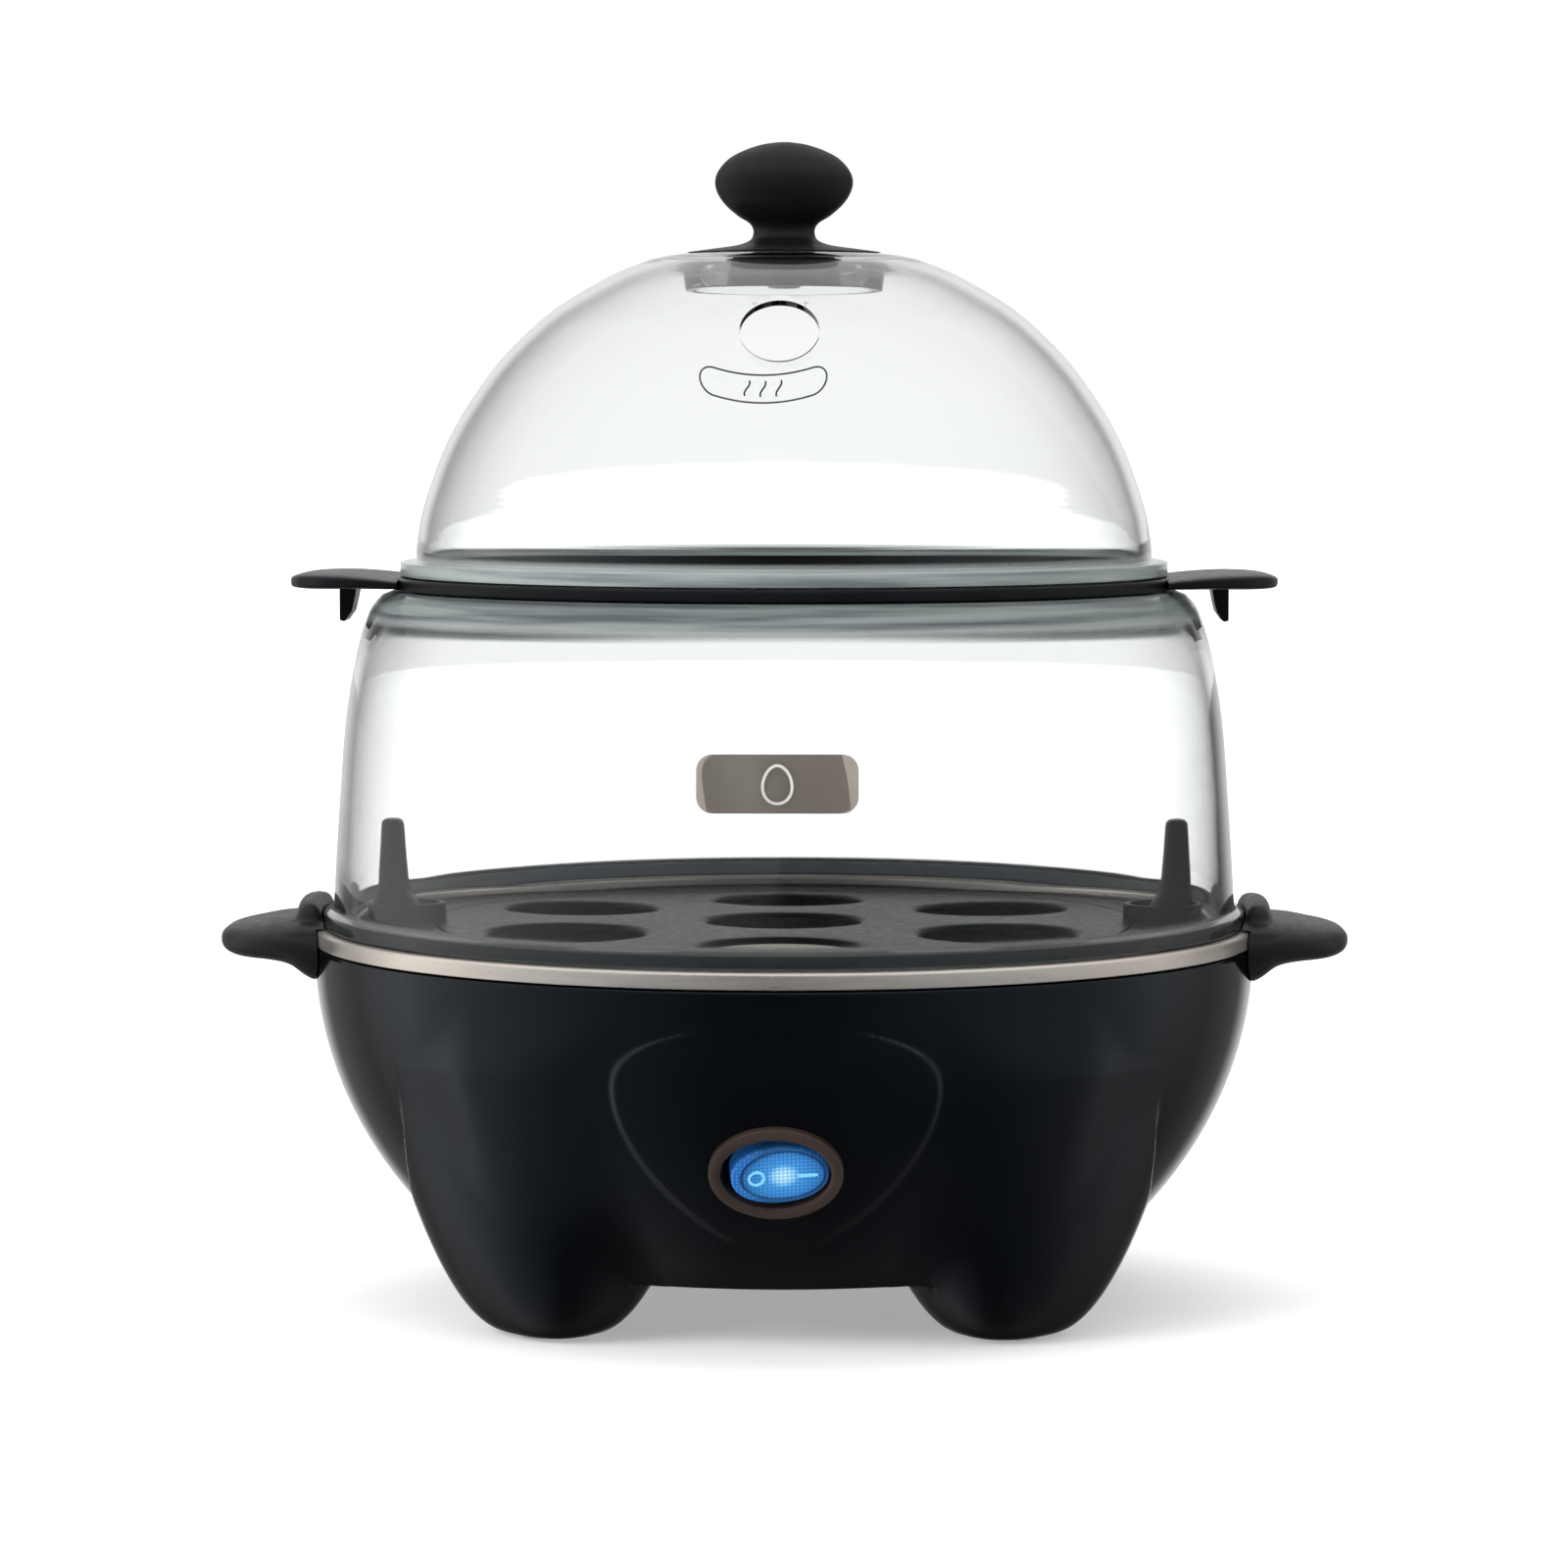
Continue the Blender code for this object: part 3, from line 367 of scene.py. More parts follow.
def gloss_black():
    # The bluish specular tint is painted light colour: it gives the reflections the blue cast of the
    # surrounding light.
    n = Nodes("base_gloss_black", IOR=1.46, Specular_Tint=(0.74, 0.86, 1.0, 1.0))
    n.tint(n.speckle(28.0, 3.0, 0.0, 1.0), (0.0010, 0.0013, 0.0017), (0.0016, 0.0020, 0.0027))
    n.to(n.speckle(420.0, 3.0, 0.075, 0.110), "Roughness")
    n.bump(n.noise(900.0, 1.0), 0.10, 0.00004)
    return n.mat


def soft_black(name, colour, rough, grain, gloss=0.4):
    n = Nodes(name, IOR=1.45, Specular_IOR_Level=gloss)
    n.tint(n.speckle(60.0, 4.0, 0.0, 1.0), colour, tuple(c * 1.35 for c in colour))
    n.to(n.speckle(500.0, 3.0, rough - 0.05, rough + 0.06), "Roughness")
    n.bump(n.noise(grain, 3.0, roughness=0.7), 0.25, 0.00005)
    return n.mat


def clear_plastic():
    """Clear, but a darker grey in the shoulder at the top of the lower housing and in the seat under the
    dome, and near black in the flange at the foot, which is painted shade for the black inside seen through
    it; heights in metres.
    """
    n = Nodes("clear_plastic", IOR=1.46)
    low, high = 0.070, 0.170
    height = n.ramp(n.parts(n.place())[2], 0.0, 1.0, low, high)

    def zones(foot, clear, shoulder, seat):
        places = ((0.0788, foot), (0.0802, clear), (0.1365, clear), (0.1385, shoulder), (0.1428, shoulder),
                  (0.1455, seat), (0.1484, seat), (0.1500, clear))
        return n.stops(height, [((z - low) / (high - low), value) for z, value in places])

    flat = n.add("VectorMath", operation="MULTIPLY")
    n.feed(flat.inputs[0], n.place())
    n.feed(flat.inputs[1], (0.03, 0.03, 1.0))
    streaks = n.ramp(n.noise(700.0, 3.0, flat.outputs[0]), 0.0, 1.0, 0.35, 0.62)
    # The foot's near-black colour is painted shade: the black inside, seen through the clear flange.
    foot, clear = (0.05, 0.056, 0.060), (0.975, 0.985, 0.985)
    dark = zones(foot, clear, (0.10, 0.12, 0.125), (0.20, 0.235, 0.235))
    pale = zones(foot, clear, (0.30, 0.35, 0.34), (0.46, 0.52, 0.51))
    n.to(n.mix(streaks, dark, pale), "Base Color")
    # The foot lets less light through, as part of the same painted shade.
    n.to(zones(0.70, 1.0, 0.45, 0.45), "Transmission Weight")
    n.to(n.math("ADD", n.speckle(90.0, 2.0, 0.012, 0.030), zones(0.05, 0.0, 0.16, 0.14)), "Roughness")
    n.bump(n.noise(24.0, 1.0), 0.05, 0.0002)
    return n.mat


def brushed(name, colour, rough, lines):
    """Brushing that runs round the axis: streaks vary with radius and height, hardly along the turn."""
    n = Nodes(name, Metallic=0.90, Anisotropic=0.8, Anisotropic_Rotation=0.25)
    n.to(n.add("Tangent", direction_type="RADIAL", axis="Z").outputs[0], "Tangent")
    x, y, z = n.parts(n.place())
    radius = n.math("SQRT", n.math("ADD", n.math("MULTIPLY", x, x), n.math("MULTIPLY", y, y)))
    turn = n.math("MULTIPLY", n.math("ARCTAN2", y, x), 0.006)
    join = n.add("CombineXYZ", X=radius, Y=turn, Z=z)
    streaks = n.noise(lines, 4.0, join.outputs[0], 0.65)
    n.tint(n.ramp(streaks, 0.0, 1.0, *NOISE_SPAN), tuple(c * 0.86 for c in colour), colour)
    n.to(n.ramp(streaks, rough - 0.05, rough + 0.08, *NOISE_SPAN), "Roughness")
    n.bump(streaks, 0.25, 0.00004)
    return n.mat


def plain_metal(name, colour, rough):
    n = Nodes(name, Metallic=1.0)
    n.tint(n.speckle(300.0, 3.0, 0.0, 1.0), tuple(c * 0.88 for c in colour), colour)
    n.to(n.speckle(700.0, 3.0, rough - 0.05, rough + 0.08), "Roughness")
    n.bump(n.noise(1500.0, 2.0), 0.15, 0.00003)
    return n.mat


def blue_lens():
    """Translucent blue, brightest in the middle of the face, with a fine grid of prisms on the face."""
    n = Nodes("blue_lens", IOR=1.49, Roughness=0.12, Coat_Weight=0.3, Coat_Roughness=0.05)
    x, y, z = n.parts(n.add("Attribute", attribute_name="face_place").outputs["Vector"])
    middle_x, prism_pitch = 0.6, 0.76

    def spot(half_x, half_y):
        """Distance from the face's middle, as a share of an oval's size."""
        along = n.ramp(x, 0.0, 1.0, middle_x, middle_x + half_x, clamp=False)
        join = n.add("CombineXYZ", X=along, Y=n.ramp(y, 0.0, 1.0, 0.0, half_y, clamp=False))
        size = n.add("VectorMath", operation="LENGTH")
        n.feed(size.inputs[0], join.outputs[0])
        return size.outputs["Value"]

    lens, face = spot(9.0, 7.6), spot(7.6, 5.0)
    n.to(n.stops(lens, ((0.0, (0.58, 0.83, 0.99)), (0.18, (0.34, 0.66, 0.93)), (0.34, (0.052, 0.26, 0.62)),
                        (0.66, (0.028, 0.17, 0.46)), (1.0, (0.012, 0.075, 0.24)))), "Emission Color")
    n.to(n.stops(lens, ((0.0, (0.02, 0.10, 0.22)), (1.0, (0.004, 0.03, 0.10)))), "Base Color")
    groove = n.ramp(face, 1.0, 0.22, 0.95, 1.02)
    # The rim's glow rising towards its left side is a painted highlight, standing in for light falling on the
    # rim from the left.
    rim = n.math("MULTIPLY", n.ramp(face, 0.0, 1.0, 1.06, 1.12), n.ramp(x, 1.9, 0.15, -8.6, -3.0))
    waves = [n.ramp(n.math("SINE", n.math("MULTIPLY", place, 2 * math.pi / prism_pitch)), 0.0, 1.0, -0.6, 1.0)
             for place in (x, y)]
    on_face = n.ramp(z, 0.0, 1.0, 5.5, 5.8)
    grid = n.math("MULTIPLY", n.math("MULTIPLY", *waves), on_face)
    shade = n.math("MULTIPLY", n.ramp(on_face, 0.40, 1.0), n.ramp(grid, 0.66, 1.60))
    n.to(n.math("MULTIPLY", n.math("ADD", groove, rim), shade), "Emission Strength")
    n.bump(grid, 0.5, 0.00008)
    return n.mat


def glowing(name, colour, strength):
    n = Nodes(name, Roughness=0.3, Emission_Strength=strength, Emission_Color=(*colour, 1))
    n.tint(n.noise(800.0), tuple(c * 0.10 for c in colour), tuple(c * 0.16 for c in colour))
    return n.mat


def foil(name):
    n = Nodes(name, Metallic=0.50)
    n.tint(n.speckle(70.0, 2.0, 0.0, 1.0), (0.44, 0.38, 0.33), (0.56, 0.50, 0.44))
    n.to(n.speckle(900.0, 3.0, 0.30, 0.42), "Roughness")
    return n.mat


def material_set():
    return {
        "base_gloss_black": gloss_black(),
        "soft_black": soft_black("soft_black", (0.0075, 0.0085, 0.0090), 0.44, 2200.0),
        "tray_black": soft_black("tray_black", (0.0045, 0.0052, 0.0062), 0.34, 1600.0, 0.14),
        "clear_plastic": clear_plastic(),
        "stainless": brushed("stainless", (0.88, 0.81, 0.73), 0.30, 900.0),
        "zinc_steel": plain_metal("zinc_steel", (0.58, 0.58, 0.60), 0.34),
        "cast_alloy": plain_metal("cast_alloy", (0.58, 0.58, 0.58), 0.55),
        "brass": plain_metal("brass", (0.72, 0.50, 0.22), 0.30),
        "rubber": soft_black("rubber", (0.012, 0.012, 0.012), 0.75, 1200.0),
        "silicone": soft_black("silicone", (0.40, 0.39, 0.37), 0.60, 900.0),
        "ceramic": soft_black("ceramic", (0.62, 0.59, 0.52), 0.50, 900.0),
        "bezel_bronze": soft_black("bezel_bronze", (0.031, 0.020, 0.0165), 0.30, 3200.0),
        "nylon_black": soft_black("nylon_black", (0.010, 0.010, 0.010), 0.48, 1500.0),
        "blue_lens": blue_lens(),
        "lamp_glass": glowing("lamp_glass", (0.35, 0.75, 1.0), 2.0),
        "wire_red": soft_black("wire_red", (0.40, 0.02, 0.02), 0.5, 900.0),
        "wire_black": soft_black("wire_black", (0.015, 0.015, 0.015), 0.5, 900.0),
        "wire_blue": soft_black("wire_blue", (0.02, 0.08, 0.35), 0.5, 900.0),
        "mark_glow": glowing("mark_glow", (0.20, 0.60, 0.84), 1.0),
        "badge_foil": foil("badge_foil"),
        "knob_black": soft_black("knob_black", (0.0030, 0.0035, 0.0040), 0.46, 2200.0),
    }


# ---------------------------------------------------------------- base

COLUMN_SPANS = ((0.0, 360.0, 1.25), (247.0, 293.0, 0.25))    # from, to, step: all round, front panel
FLANK_STARTS, FLANK_SPAN, FLANK_STEP = (28.0, 140.0, 208.0, 320.0), 12.0, 0.4
COLUMN_REACH, COLUMN_SPLIT_Z = (30.0, 97.0), 50.0
OUTER_ROWS, INNER_ROWS, INNER_STEP = (50, 84), (6, 16), 0.4


def smooth_step(low, high, value):
    t = np.clip((value - low) / (high - low), 0.0, 1.0)
    return t * t * (3 - 2 * t)


def rounded_max(a, b, reach=2.4):
    """The larger of two distances, with the edge between them rounded."""
    return np.maximum(a, b) + np.maximum(reach - np.abs(a - b), 0.0) ** 2 / (4 * reach)


def bowl_radius(z):
    drop = np.clip((BOWL_EQUATOR - z) / BOWL_DEPTH, 0.0, 0.99)
    return RIM_R * np.sqrt(1.0 - drop ** 2)


def panel_rise(x, y, z):
    """How far the shield-shaped front panel stands out of the bowl."""
    rise = np.clip((z - PANEL_WIDE_Z) / (PANEL_TOP - PANEL_WIDE_Z), -1.0, 1.0)
    fall = np.clip((PANEL_WIDE_Z - z) / (PANEL_WIDE_Z - PANEL_BOTTOM), 0.0, 1.0)
    half = np.where(z > PANEL_WIDE_Z,
                    PANEL_HALF * (1 - np.clip(rise, 0, 1) ** 2.6) ** 0.5,
                    PANEL_HALF * (1 - fall ** 1.7) ** 0.75)
    inside = smooth_step(-0.2, 1.3, half - np.abs(x))
    inside = inside * smooth_step(0.0, 1.6, PANEL_TOP - z) * smooth_step(20.0, 30.0, z)
    height = np.minimum(PANEL_RISE, RIM_R - 0.1 - bowl_radius(z))
    return np.where(y < 0, height * inside, 0.0)


def skin_field(azimuth, r, z, inset):
    """Negative inside the base: bowl and legs blended, crisp towards the handles, soft elsewhere."""
    x, y = r * np.cos(azimuth), r * np.sin(azimuth)
    bowl = r - bowl_radius(z) + inset - panel_rise(x, y, z)
    bowl = np.where(z < (UNDERSIDE if inset == 0 else FLOOR_TOP), OUTSIDE, bowl)
    along = (np.abs(x) + np.abs(y)) / math.sqrt(2) - LEG_REACH
    across = (np.abs(x) - np.abs(y)) / math.sqrt(2)
    spread = ((np.abs(along) / LEG_SQUASH) ** LEG_SQUARENESS
              + np.abs(across) ** LEG_SQUARENESS) ** (1 / LEG_SQUARENESS)
    height = z - LEG_BOTTOM - inset * 1.3
    leg = spread - LEG_TOE - np.sqrt(np.maximum(height, 0.0) / LEG_CURVE) + inset * 0.9
    below = LEG_BLEND_Z - z
    proud = np.where(below > 0, 0.0102 * below ** 2, 0.5 * below)
    leg = rounded_max(leg, r - bowl_radius(z) - proud + inset)
    flank = np.interp(z, *zip(*LEG_FLANK))
    leg = rounded_max(leg, across - flank + inset * 0.9, 1.8)
    leg = np.where(height < 0, OUTSIDE, leg)
    softness = 1.0 + 7.0 * smooth_step(-6.0, 12.0, -across)
    mix = np.clip(0.5 + 0.5 * (leg - bowl) / softness, 0.0, 1.0)
    return leg * (1 - mix) + bowl * mix - softness * mix * (1 - mix)


def skin_column(azimuth, inset, upper, lower, step=0.15):
    """An (r, z) outline down one azimuth: even rows above the split, then even spacing along the wall."""
    floor = UNDERSIDE if inset == 0 else FLOOR_TOP
    r = np.arange(*COLUMN_REACH, step)
    heights = np.concatenate([np.linspace(RIM_Z, COLUMN_SPLIT_Z, upper + 1),
                              np.arange(COLUMN_SPLIT_Z - step, LEG_BOTTOM + inset, -step)])
    field = skin_field(azimuth, r[None, :], heights[:, None], inset)
    outer, inner = [], []
    for z, row in zip(heights, field):
        inside = np.nonzero(row < 0)[0]
        if len(inside) == 0:
            break
        last, first = inside[-1], inside[0]
        t = row[last] / (row[last] - row[last + 1])
        outer.append((r[last] + t * step, z))
        if z < floor:
            t = row[first] / (row[first] - row[first - 1])
            inner.append((r[first] - t * step, z))
    outer = outer + inner[::-1] + [(COVER_R + 1.5, floor)]
    head, tail = outer[:upper], np.array(outer[upper:])
    steps = np.concatenate([[0], np.cumsum(np.hypot(*np.diff(tail, axis=0).T))])
    at = np.linspace(0, steps[-1], lower)
    tail = list(zip(np.interp(at, steps, tail[:, 0]), np.interp(at, steps, tail[:, 1])))
    return head + tail


def switch_frame():
    """The middle of the front panel's switch, with Z out of the panel and Y up it."""
    reach = float(bowl_radius(SWITCH_Z)) + PANEL_RISE
    out = Vector((0, -math.cos(SWITCH_TILT), -math.sin(SWITCH_TILT)))
    up = Vector((0, -math.sin(SWITCH_TILT), math.cos(SWITCH_TILT)))
    turn = Matrix((Vector((1, 0, 0)), up, out)).transposed().to_4x4()
    return Matrix.Translation((0, -reach, SWITCH_Z)) @ turn


def gland_frame():
    at = Matrix.Translation((0, float(bowl_radius(GLAND_Z)), GLAND_Z))
    return at @ Matrix.Rotation(-math.pi / 2 - GLAND_TILT, 4, "X")


def along_x(z):
    return Matrix.Translation((0, 0, z)) @ Matrix.Rotation(math.pi / 2, 4, "Y")


def leg_places():
    d = LEG_REACH / math.sqrt(2)
    return {"front_left": (-d, -d), "front_right": (d, -d), "rear_left": (-d, d), "rear_right": (d, d)}


def base_skin(mats):
    """Columns are closest together over the front panel and along each leg's flank."""
    spans = list(COLUMN_SPANS) + [(flank, flank + FLANK_SPAN, FLANK_STEP) for flank in FLANK_STARTS]
    angles = sorted({round(float(a), 2) for span in spans for a in np.arange(*span)})
    verts = []
    for a in np.radians(angles):
        outer = skin_column(a, 0.0, *OUTER_ROWS)
        edge = outer[0][0]
        outer[0:2] = [(edge - 0.5, RIM_Z), (edge - 0.15, RIM_Z - 0.15), (edge, RIM_Z - 0.5)]
        lip = [(COVER_R, UNDERSIDE), (COVER_R, LIP_Z), (LIP_R, LIP_Z), (LIP_R, FLOOR_TOP)]
        inner = skin_column(a, WALL, *INNER_ROWS, INNER_STEP)
        loop = outer + lip + inner[::-1]
        verts += [(r * math.cos(a), r * math.sin(a), z) for r, z in loop]
    faces = grid_faces(len(angles), len(loop), True)
    skin = make("base_skin", outward((verts, faces)), mats["base_gloss_black"])
    front = switch_frame()
    boolean(skin, "DIFFERENCE", [
        prism(oval(BEZEL_HALF[0] + 0.2, BEZEL_HALF[1] + 0.2), -SEAT_DEPTH, 12, front),
        rod(GLAND_SEAT_R, -1.0, 12, matrix=gland_frame())])
    cuts = [rod(BOLT_HOLE_R, UNDERSIDE - 3, 30, at=(x, 0)) for x in (-BOLT_X, BOLT_X)]
    cuts += [rod(HANDLE_PEG_R + GAP, *span, matrix=along_x(HANDLE_PEG_Z)) for span in ((-99, -83), (83, 99))]
    cuts.append(rod(GLAND_HOLE_R, -8, 6, matrix=gland_frame()))
    cuts += [rod(PAD_R + GAP, -5, PAD_TOP + GAP, at=place) for place in leg_places().values()]
    cuts.append(prism(eight_sided(10.6, 8.2, 5.1, 7.0), -14, 4, front))
    boolean(skin, "DIFFERENCE", cuts)
    stand_in(skin, "base", "base_gloss_black", "base_shell")


def small_base_parts(mats):
    pad = rounded([(0.0, 0.0), (PAD_R, 0.0, 0.9), (PAD_R, PAD_TOP, 0.4), (0.0, PAD_TOP)])
    for name, (x, y) in leg_places().items():
        piece = make("pad_" + name, turned(pad, 48, Matrix.Translation((x, y, 0))), mats["rubber"])
        stand_in(piece, "base", "rubber", "foot_pad_" + name)
    body = rounded([(2.4, -9.0), (4.6, -9.0), (4.6, -0.7), (7.0, -0.7, 0.3), (6.7, 1.4, 0.8), (4.8, 2.2, 0.8),
                    (4.4, 5.0, 0.7), (2.4, 5.0, 0.3)])
    gland = make("gland_skin", turned(body, 64, gland_frame()), mats["soft_black"])
    stand_in(gland, "base", "soft_black", "cord_gland")
    ring = rounded([(89.0, 72.5), (92.7, 72.5), (92.7, 74.4), (89.0, 74.4)])
    gasket = make("gasket_skin", turned(ring), mats["silicone"])
    stand_in(gasket, "base", "silicone", "pan_gasket")


def pan(mats):
    sheet, nil = 1.0, 1e-6
    top = [(RIM_R, RIM_Z + GAP, 0.3), (RIM_R, PAN_TOP, 0.8), (PAN_STEP_R, PAN_TOP, 0.6),
           (PAN_STEP_R, SEAT_Z, 0.8), (80.0, SEAT_Z, 1.6), (75.0, PAN_FLOOR + 3.0, 2.0),
           (71.5, PAN_FLOOR, 2.5), (0.0, PAN_FLOOR)]
    under = [(0.0, PAN_FLOOR - sheet), (72.0, PAN_FLOOR - sheet, 3.0), (76.0, PAN_FLOOR + 2.6, 2.0),
             (80.6, SEAT_Z - sheet, 1.0), (PAN_STEP_R + sheet, SEAT_Z - sheet, 1.2),
             (PAN_STEP_R + sheet, PAN_TOP - sheet, 0.4), (RIM_R - sheet, PAN_TOP - sheet, 0.4),
             (RIM_R - sheet, RIM_Z + GAP)]
    outline = rounded(top + under, 5)
    second = [k for k, (r, z) in enumerate(outline) if r < nil][1]
    outline = outline[second:] + outline[:second]
    outline = [(0.0 if r < nil else r, z) for r, z in outline]
    skin = make("pan_skin", turned(outline), mats["stainless"])
    stand_in(skin, "base", "stainless", "heating_pan")


# ---------------------------------------------------------------- handles

WING_STATIONS = (          # radius, underside, top, half-width
    (90.0, 63.6, 77.6, 21.5), (94.4, 64.8, 77.6, 22.5), (98.0, 67.6, 77.5, 22.8), (102.0, 68.6, 77.2, 22.0),
    (106.0, 69.0, 76.5, 19.8), (109.0, 69.4, 76.0, 16.4), (111.4, 70.2, 75.3, 11.4), (112.6, 71.3, 74.3, 6.4),
    (113.0, 72.3, 73.5, 2.6),
)
KNUCKLE_STATIONS = (       # place along the rim, half-height, half-thickness
    (-15.0, 1.2, 0.6), (-14.4, 3.2, 1.8), (-12.0, 4.5, 2.5), (0.0, 5.2, 2.7),
    (12.0, 4.5, 2.5), (14.4, 3.2, 1.8), (15.0, 1.2, 0.6),
)


def clearance_profile():
    """What a handle keeps clear of: bowl, pan rim and shell, each with its gap."""
    heights = [50, 55, 60, 64, 68, 71.5]
    wall = [(float(bowl_radius(z)) + GAP, z) for z in heights]
    return [(0.0, 50.0)] + wall + [(RIM_R + GAP, PAN_TOP + GAP), (SHELL_FOOT_R + GAP, PAN_TOP + GAP),
                                   (SHELL_FOOT_R + GAP, 100.0), (0.0, 100.0)]


def side_grip(name, side, mats):
    rings = []
    for r, low, high, half in eased(WING_STATIONS, 5):
        mid, tall = (low + high) / 2, (high - low) / 2
        upper, lower = oval(half, tall, 72, 0.6), oval(half, tall, 72, 0.95)
        rings.append([(side * r, y, mid + z) for y, z in upper[:37] + lower[37:]])
    grip = make("grip_" + name, loft(rings), mats["soft_black"])
    ridge = []
    for y, tall, thick in eased(KNUCKLE_STATIONS, 6):
        bow = RIM_R + 1.0 - RIM_R * (1 - math.cos(y / RIM_R))
        ridge.append([(side * (bow + a), y, 76.3 + b) for a, b in oval(thick, tall, 40, 0.8)])
    boolean(grip, "UNION", [loft(ridge)])
    remesh = grip.modifiers.new("remesh", "REMESH")
    remesh.mode, remesh.voxel_size, remesh.use_smooth_shade = "VOXEL", 0.0005, True
    soften = grip.modifiers.new("soften", "SMOOTH")
    soften.factor, soften.iterations = 0.5, 10
    settle(grip)
    boolean(grip, "DIFFERENCE", [turned(clearance_profile(), 288)])
    peg = sorted((side * 90.2, side * 96.0))
    boolean(grip, "UNION", [rod(HANDLE_PEG_R, *peg, matrix=along_x(HANDLE_PEG_Z))])
    stand_in(grip, "base", "soft_black", "handle_" + name)


# ---------------------------------------------------------------- switch

ROCKER_RINGS = (           # height, half-length, half-width, dip in the middle, shift to the right
    (-3.6, 8.7, 5.5, 0.0, 0.0), (-3.3, 9.1, 6.0, 0.0, 0.0), (-1.0, 9.2, 6.1, 0.0, 0.0),
    (1.0, 9.2, 6.1, 0.2, 0.0), (1.45, 9.0, 5.9, 0.4, 0.0), (1.62, 8.7, 5.75, 0.5, 0.1),
    (1.55, 8.2, 5.4, 0.6, 0.4), (1.25, 7.95, 5.2, 0.65, 0.5), (1.25, 7.75, 5.08, 0.65, 0.6),
    (1.65, 7.55, 4.95, 0.66, 0.6), (1.80, 7.2, 4.7, 0.7, 0.6), (1.8, 5.6, 3.7, 0.7, 0.5),
    (1.8, 3.6, 2.4, 0.7, 0.3), (1.8, 1.8, 1.2, 0.7, 0.1), (1.8, 0.4, 0.3, 0.7, 0.0),
)
ROCKER_HALF = 9.2


def face_place(obj, matrix):
    """Stores each vertex's place on the rocker's face, in millimetres, for its material."""
    back = matrix.inverted()
    layer = obj.data.attributes.new("face_place", "FLOAT_VECTOR", "POINT")
    layer.data.foreach_set("vector", [c for v in obj.data.vertices for c in back @ (v.co / MM)])


def switch(mats):
    front = switch_frame()
    seat = -SEAT_DEPTH + GAP
    lip = rounded([(0.0, seat), (1.0, seat), (1.0, 0.9, 0.9), (0.35, 1.3, 0.5), (0.0, 0.75, 0.3)], 5)
    rings = []
    for share, z in lip:
        rings.append([(x, y, z) for x, y in oval(
            WELL_HALF[0] + share * (BEZEL_HALF[0] - WELL_HALF[0]),
            WELL_HALF[1] + share * (BEZEL_HALF[1] - WELL_HALF[1]), 96)])
    verts = [p for ring in rings for p in ring]
    bezel = make("bezel_ring", moved((verts, grid_faces(len(rings), 96, True)), front), mats["bezel_bronze"])
    stand_in(bezel, "base", "bezel_bronze", "switch_bezel")

    pivot = front @ Matrix.Translation((0, 0, ROCKER_PIVOT))
    tilt = pivot @ Matrix.Rotation(math.radians(ROCKER_REST), 4, "Y")
    lift = -ROCKER_PIVOT

    def ring(height, half_x, half_y, dip, aside):
        return [(aside + x, y, lift + height - dip * (1 - (x / ROCKER_HALF) ** 2))
                for x, y in oval(half_x, half_y, 96, 0.95)]

    sharp = 50
    rings = [ring(*values) for values in ROCKER_RINGS]
    rocker = make("rocker_lens", loft(rings, tilt), mats["blue_lens"], sharp)
    boolean(rocker, "UNION", [prism(box_outline(-2.4, 2.4, -5.2, 5.2), -2.2, lift - 2.6, tilt)], sharp)
    axle = tilt @ Matrix.Rotation(-math.pi / 2, 4, "X")
    boolean(rocker, "UNION", [rod(1.0, -7.1, 7.1, matrix=axle)], sharp)
    face_place(rocker, tilt)
    stand_in(rocker, "rocker", "blue_lens", "switch_rocker")

    face = tilt @ Matrix.Translation((0, 0, lift + 1.3))
    ring_mark = [(1.15, -0.3), (1.62, -0.3), (1.62, 0.14), (1.15, 0.14)]
    at = face @ Matrix.Translation((-4.5, 0, 0.1))
    off_mark = make("off_ring", turned(ring_mark, 48, at), mats["mark_glow"])
    stand_in(off_mark, "rocker", "lamp_glass")
    bar = prism(oval(1.9, 0.30, 24, 0.4), -0.4, 0.26, face @ Matrix.Translation((5.1, 0, 0.0)))
    on_mark = make("on_bar", bar, mats["mark_glow"])
    stand_in(on_mark, "rocker", "lamp_glass")


# ---------------------------------------------------------------- trays

def hole_circle(count, radius, start):
    return [(radius * math.cos(math.radians(start + 360 * k / count)),
             radius * math.sin(math.radians(start + 360 * k / count))) for k in range(count)]


def egg_cutters(places, low, high):
    """Round holes whose mouths flare upwards."""
    flare, drop, steps = 2.2, 1.4, 6
    mouth = [(EGG_HOLE_R, high - drop)]
    for s in range(1, steps + 1):
        a = math.pi / 2 * s / steps
        mouth.append((EGG_HOLE_R + flare * (1 - math.cos(a)), high - drop + drop * math.sin(a)))
    outline = [(0.0, low - 5), (EGG_HOLE_R, low - 5)] + mouth + [(mouth[-1][0], high + 2), (0.0, high + 2)]
    return [turned(outline, 72, Matrix.Translation((x, y, 0))) for x, y in places]


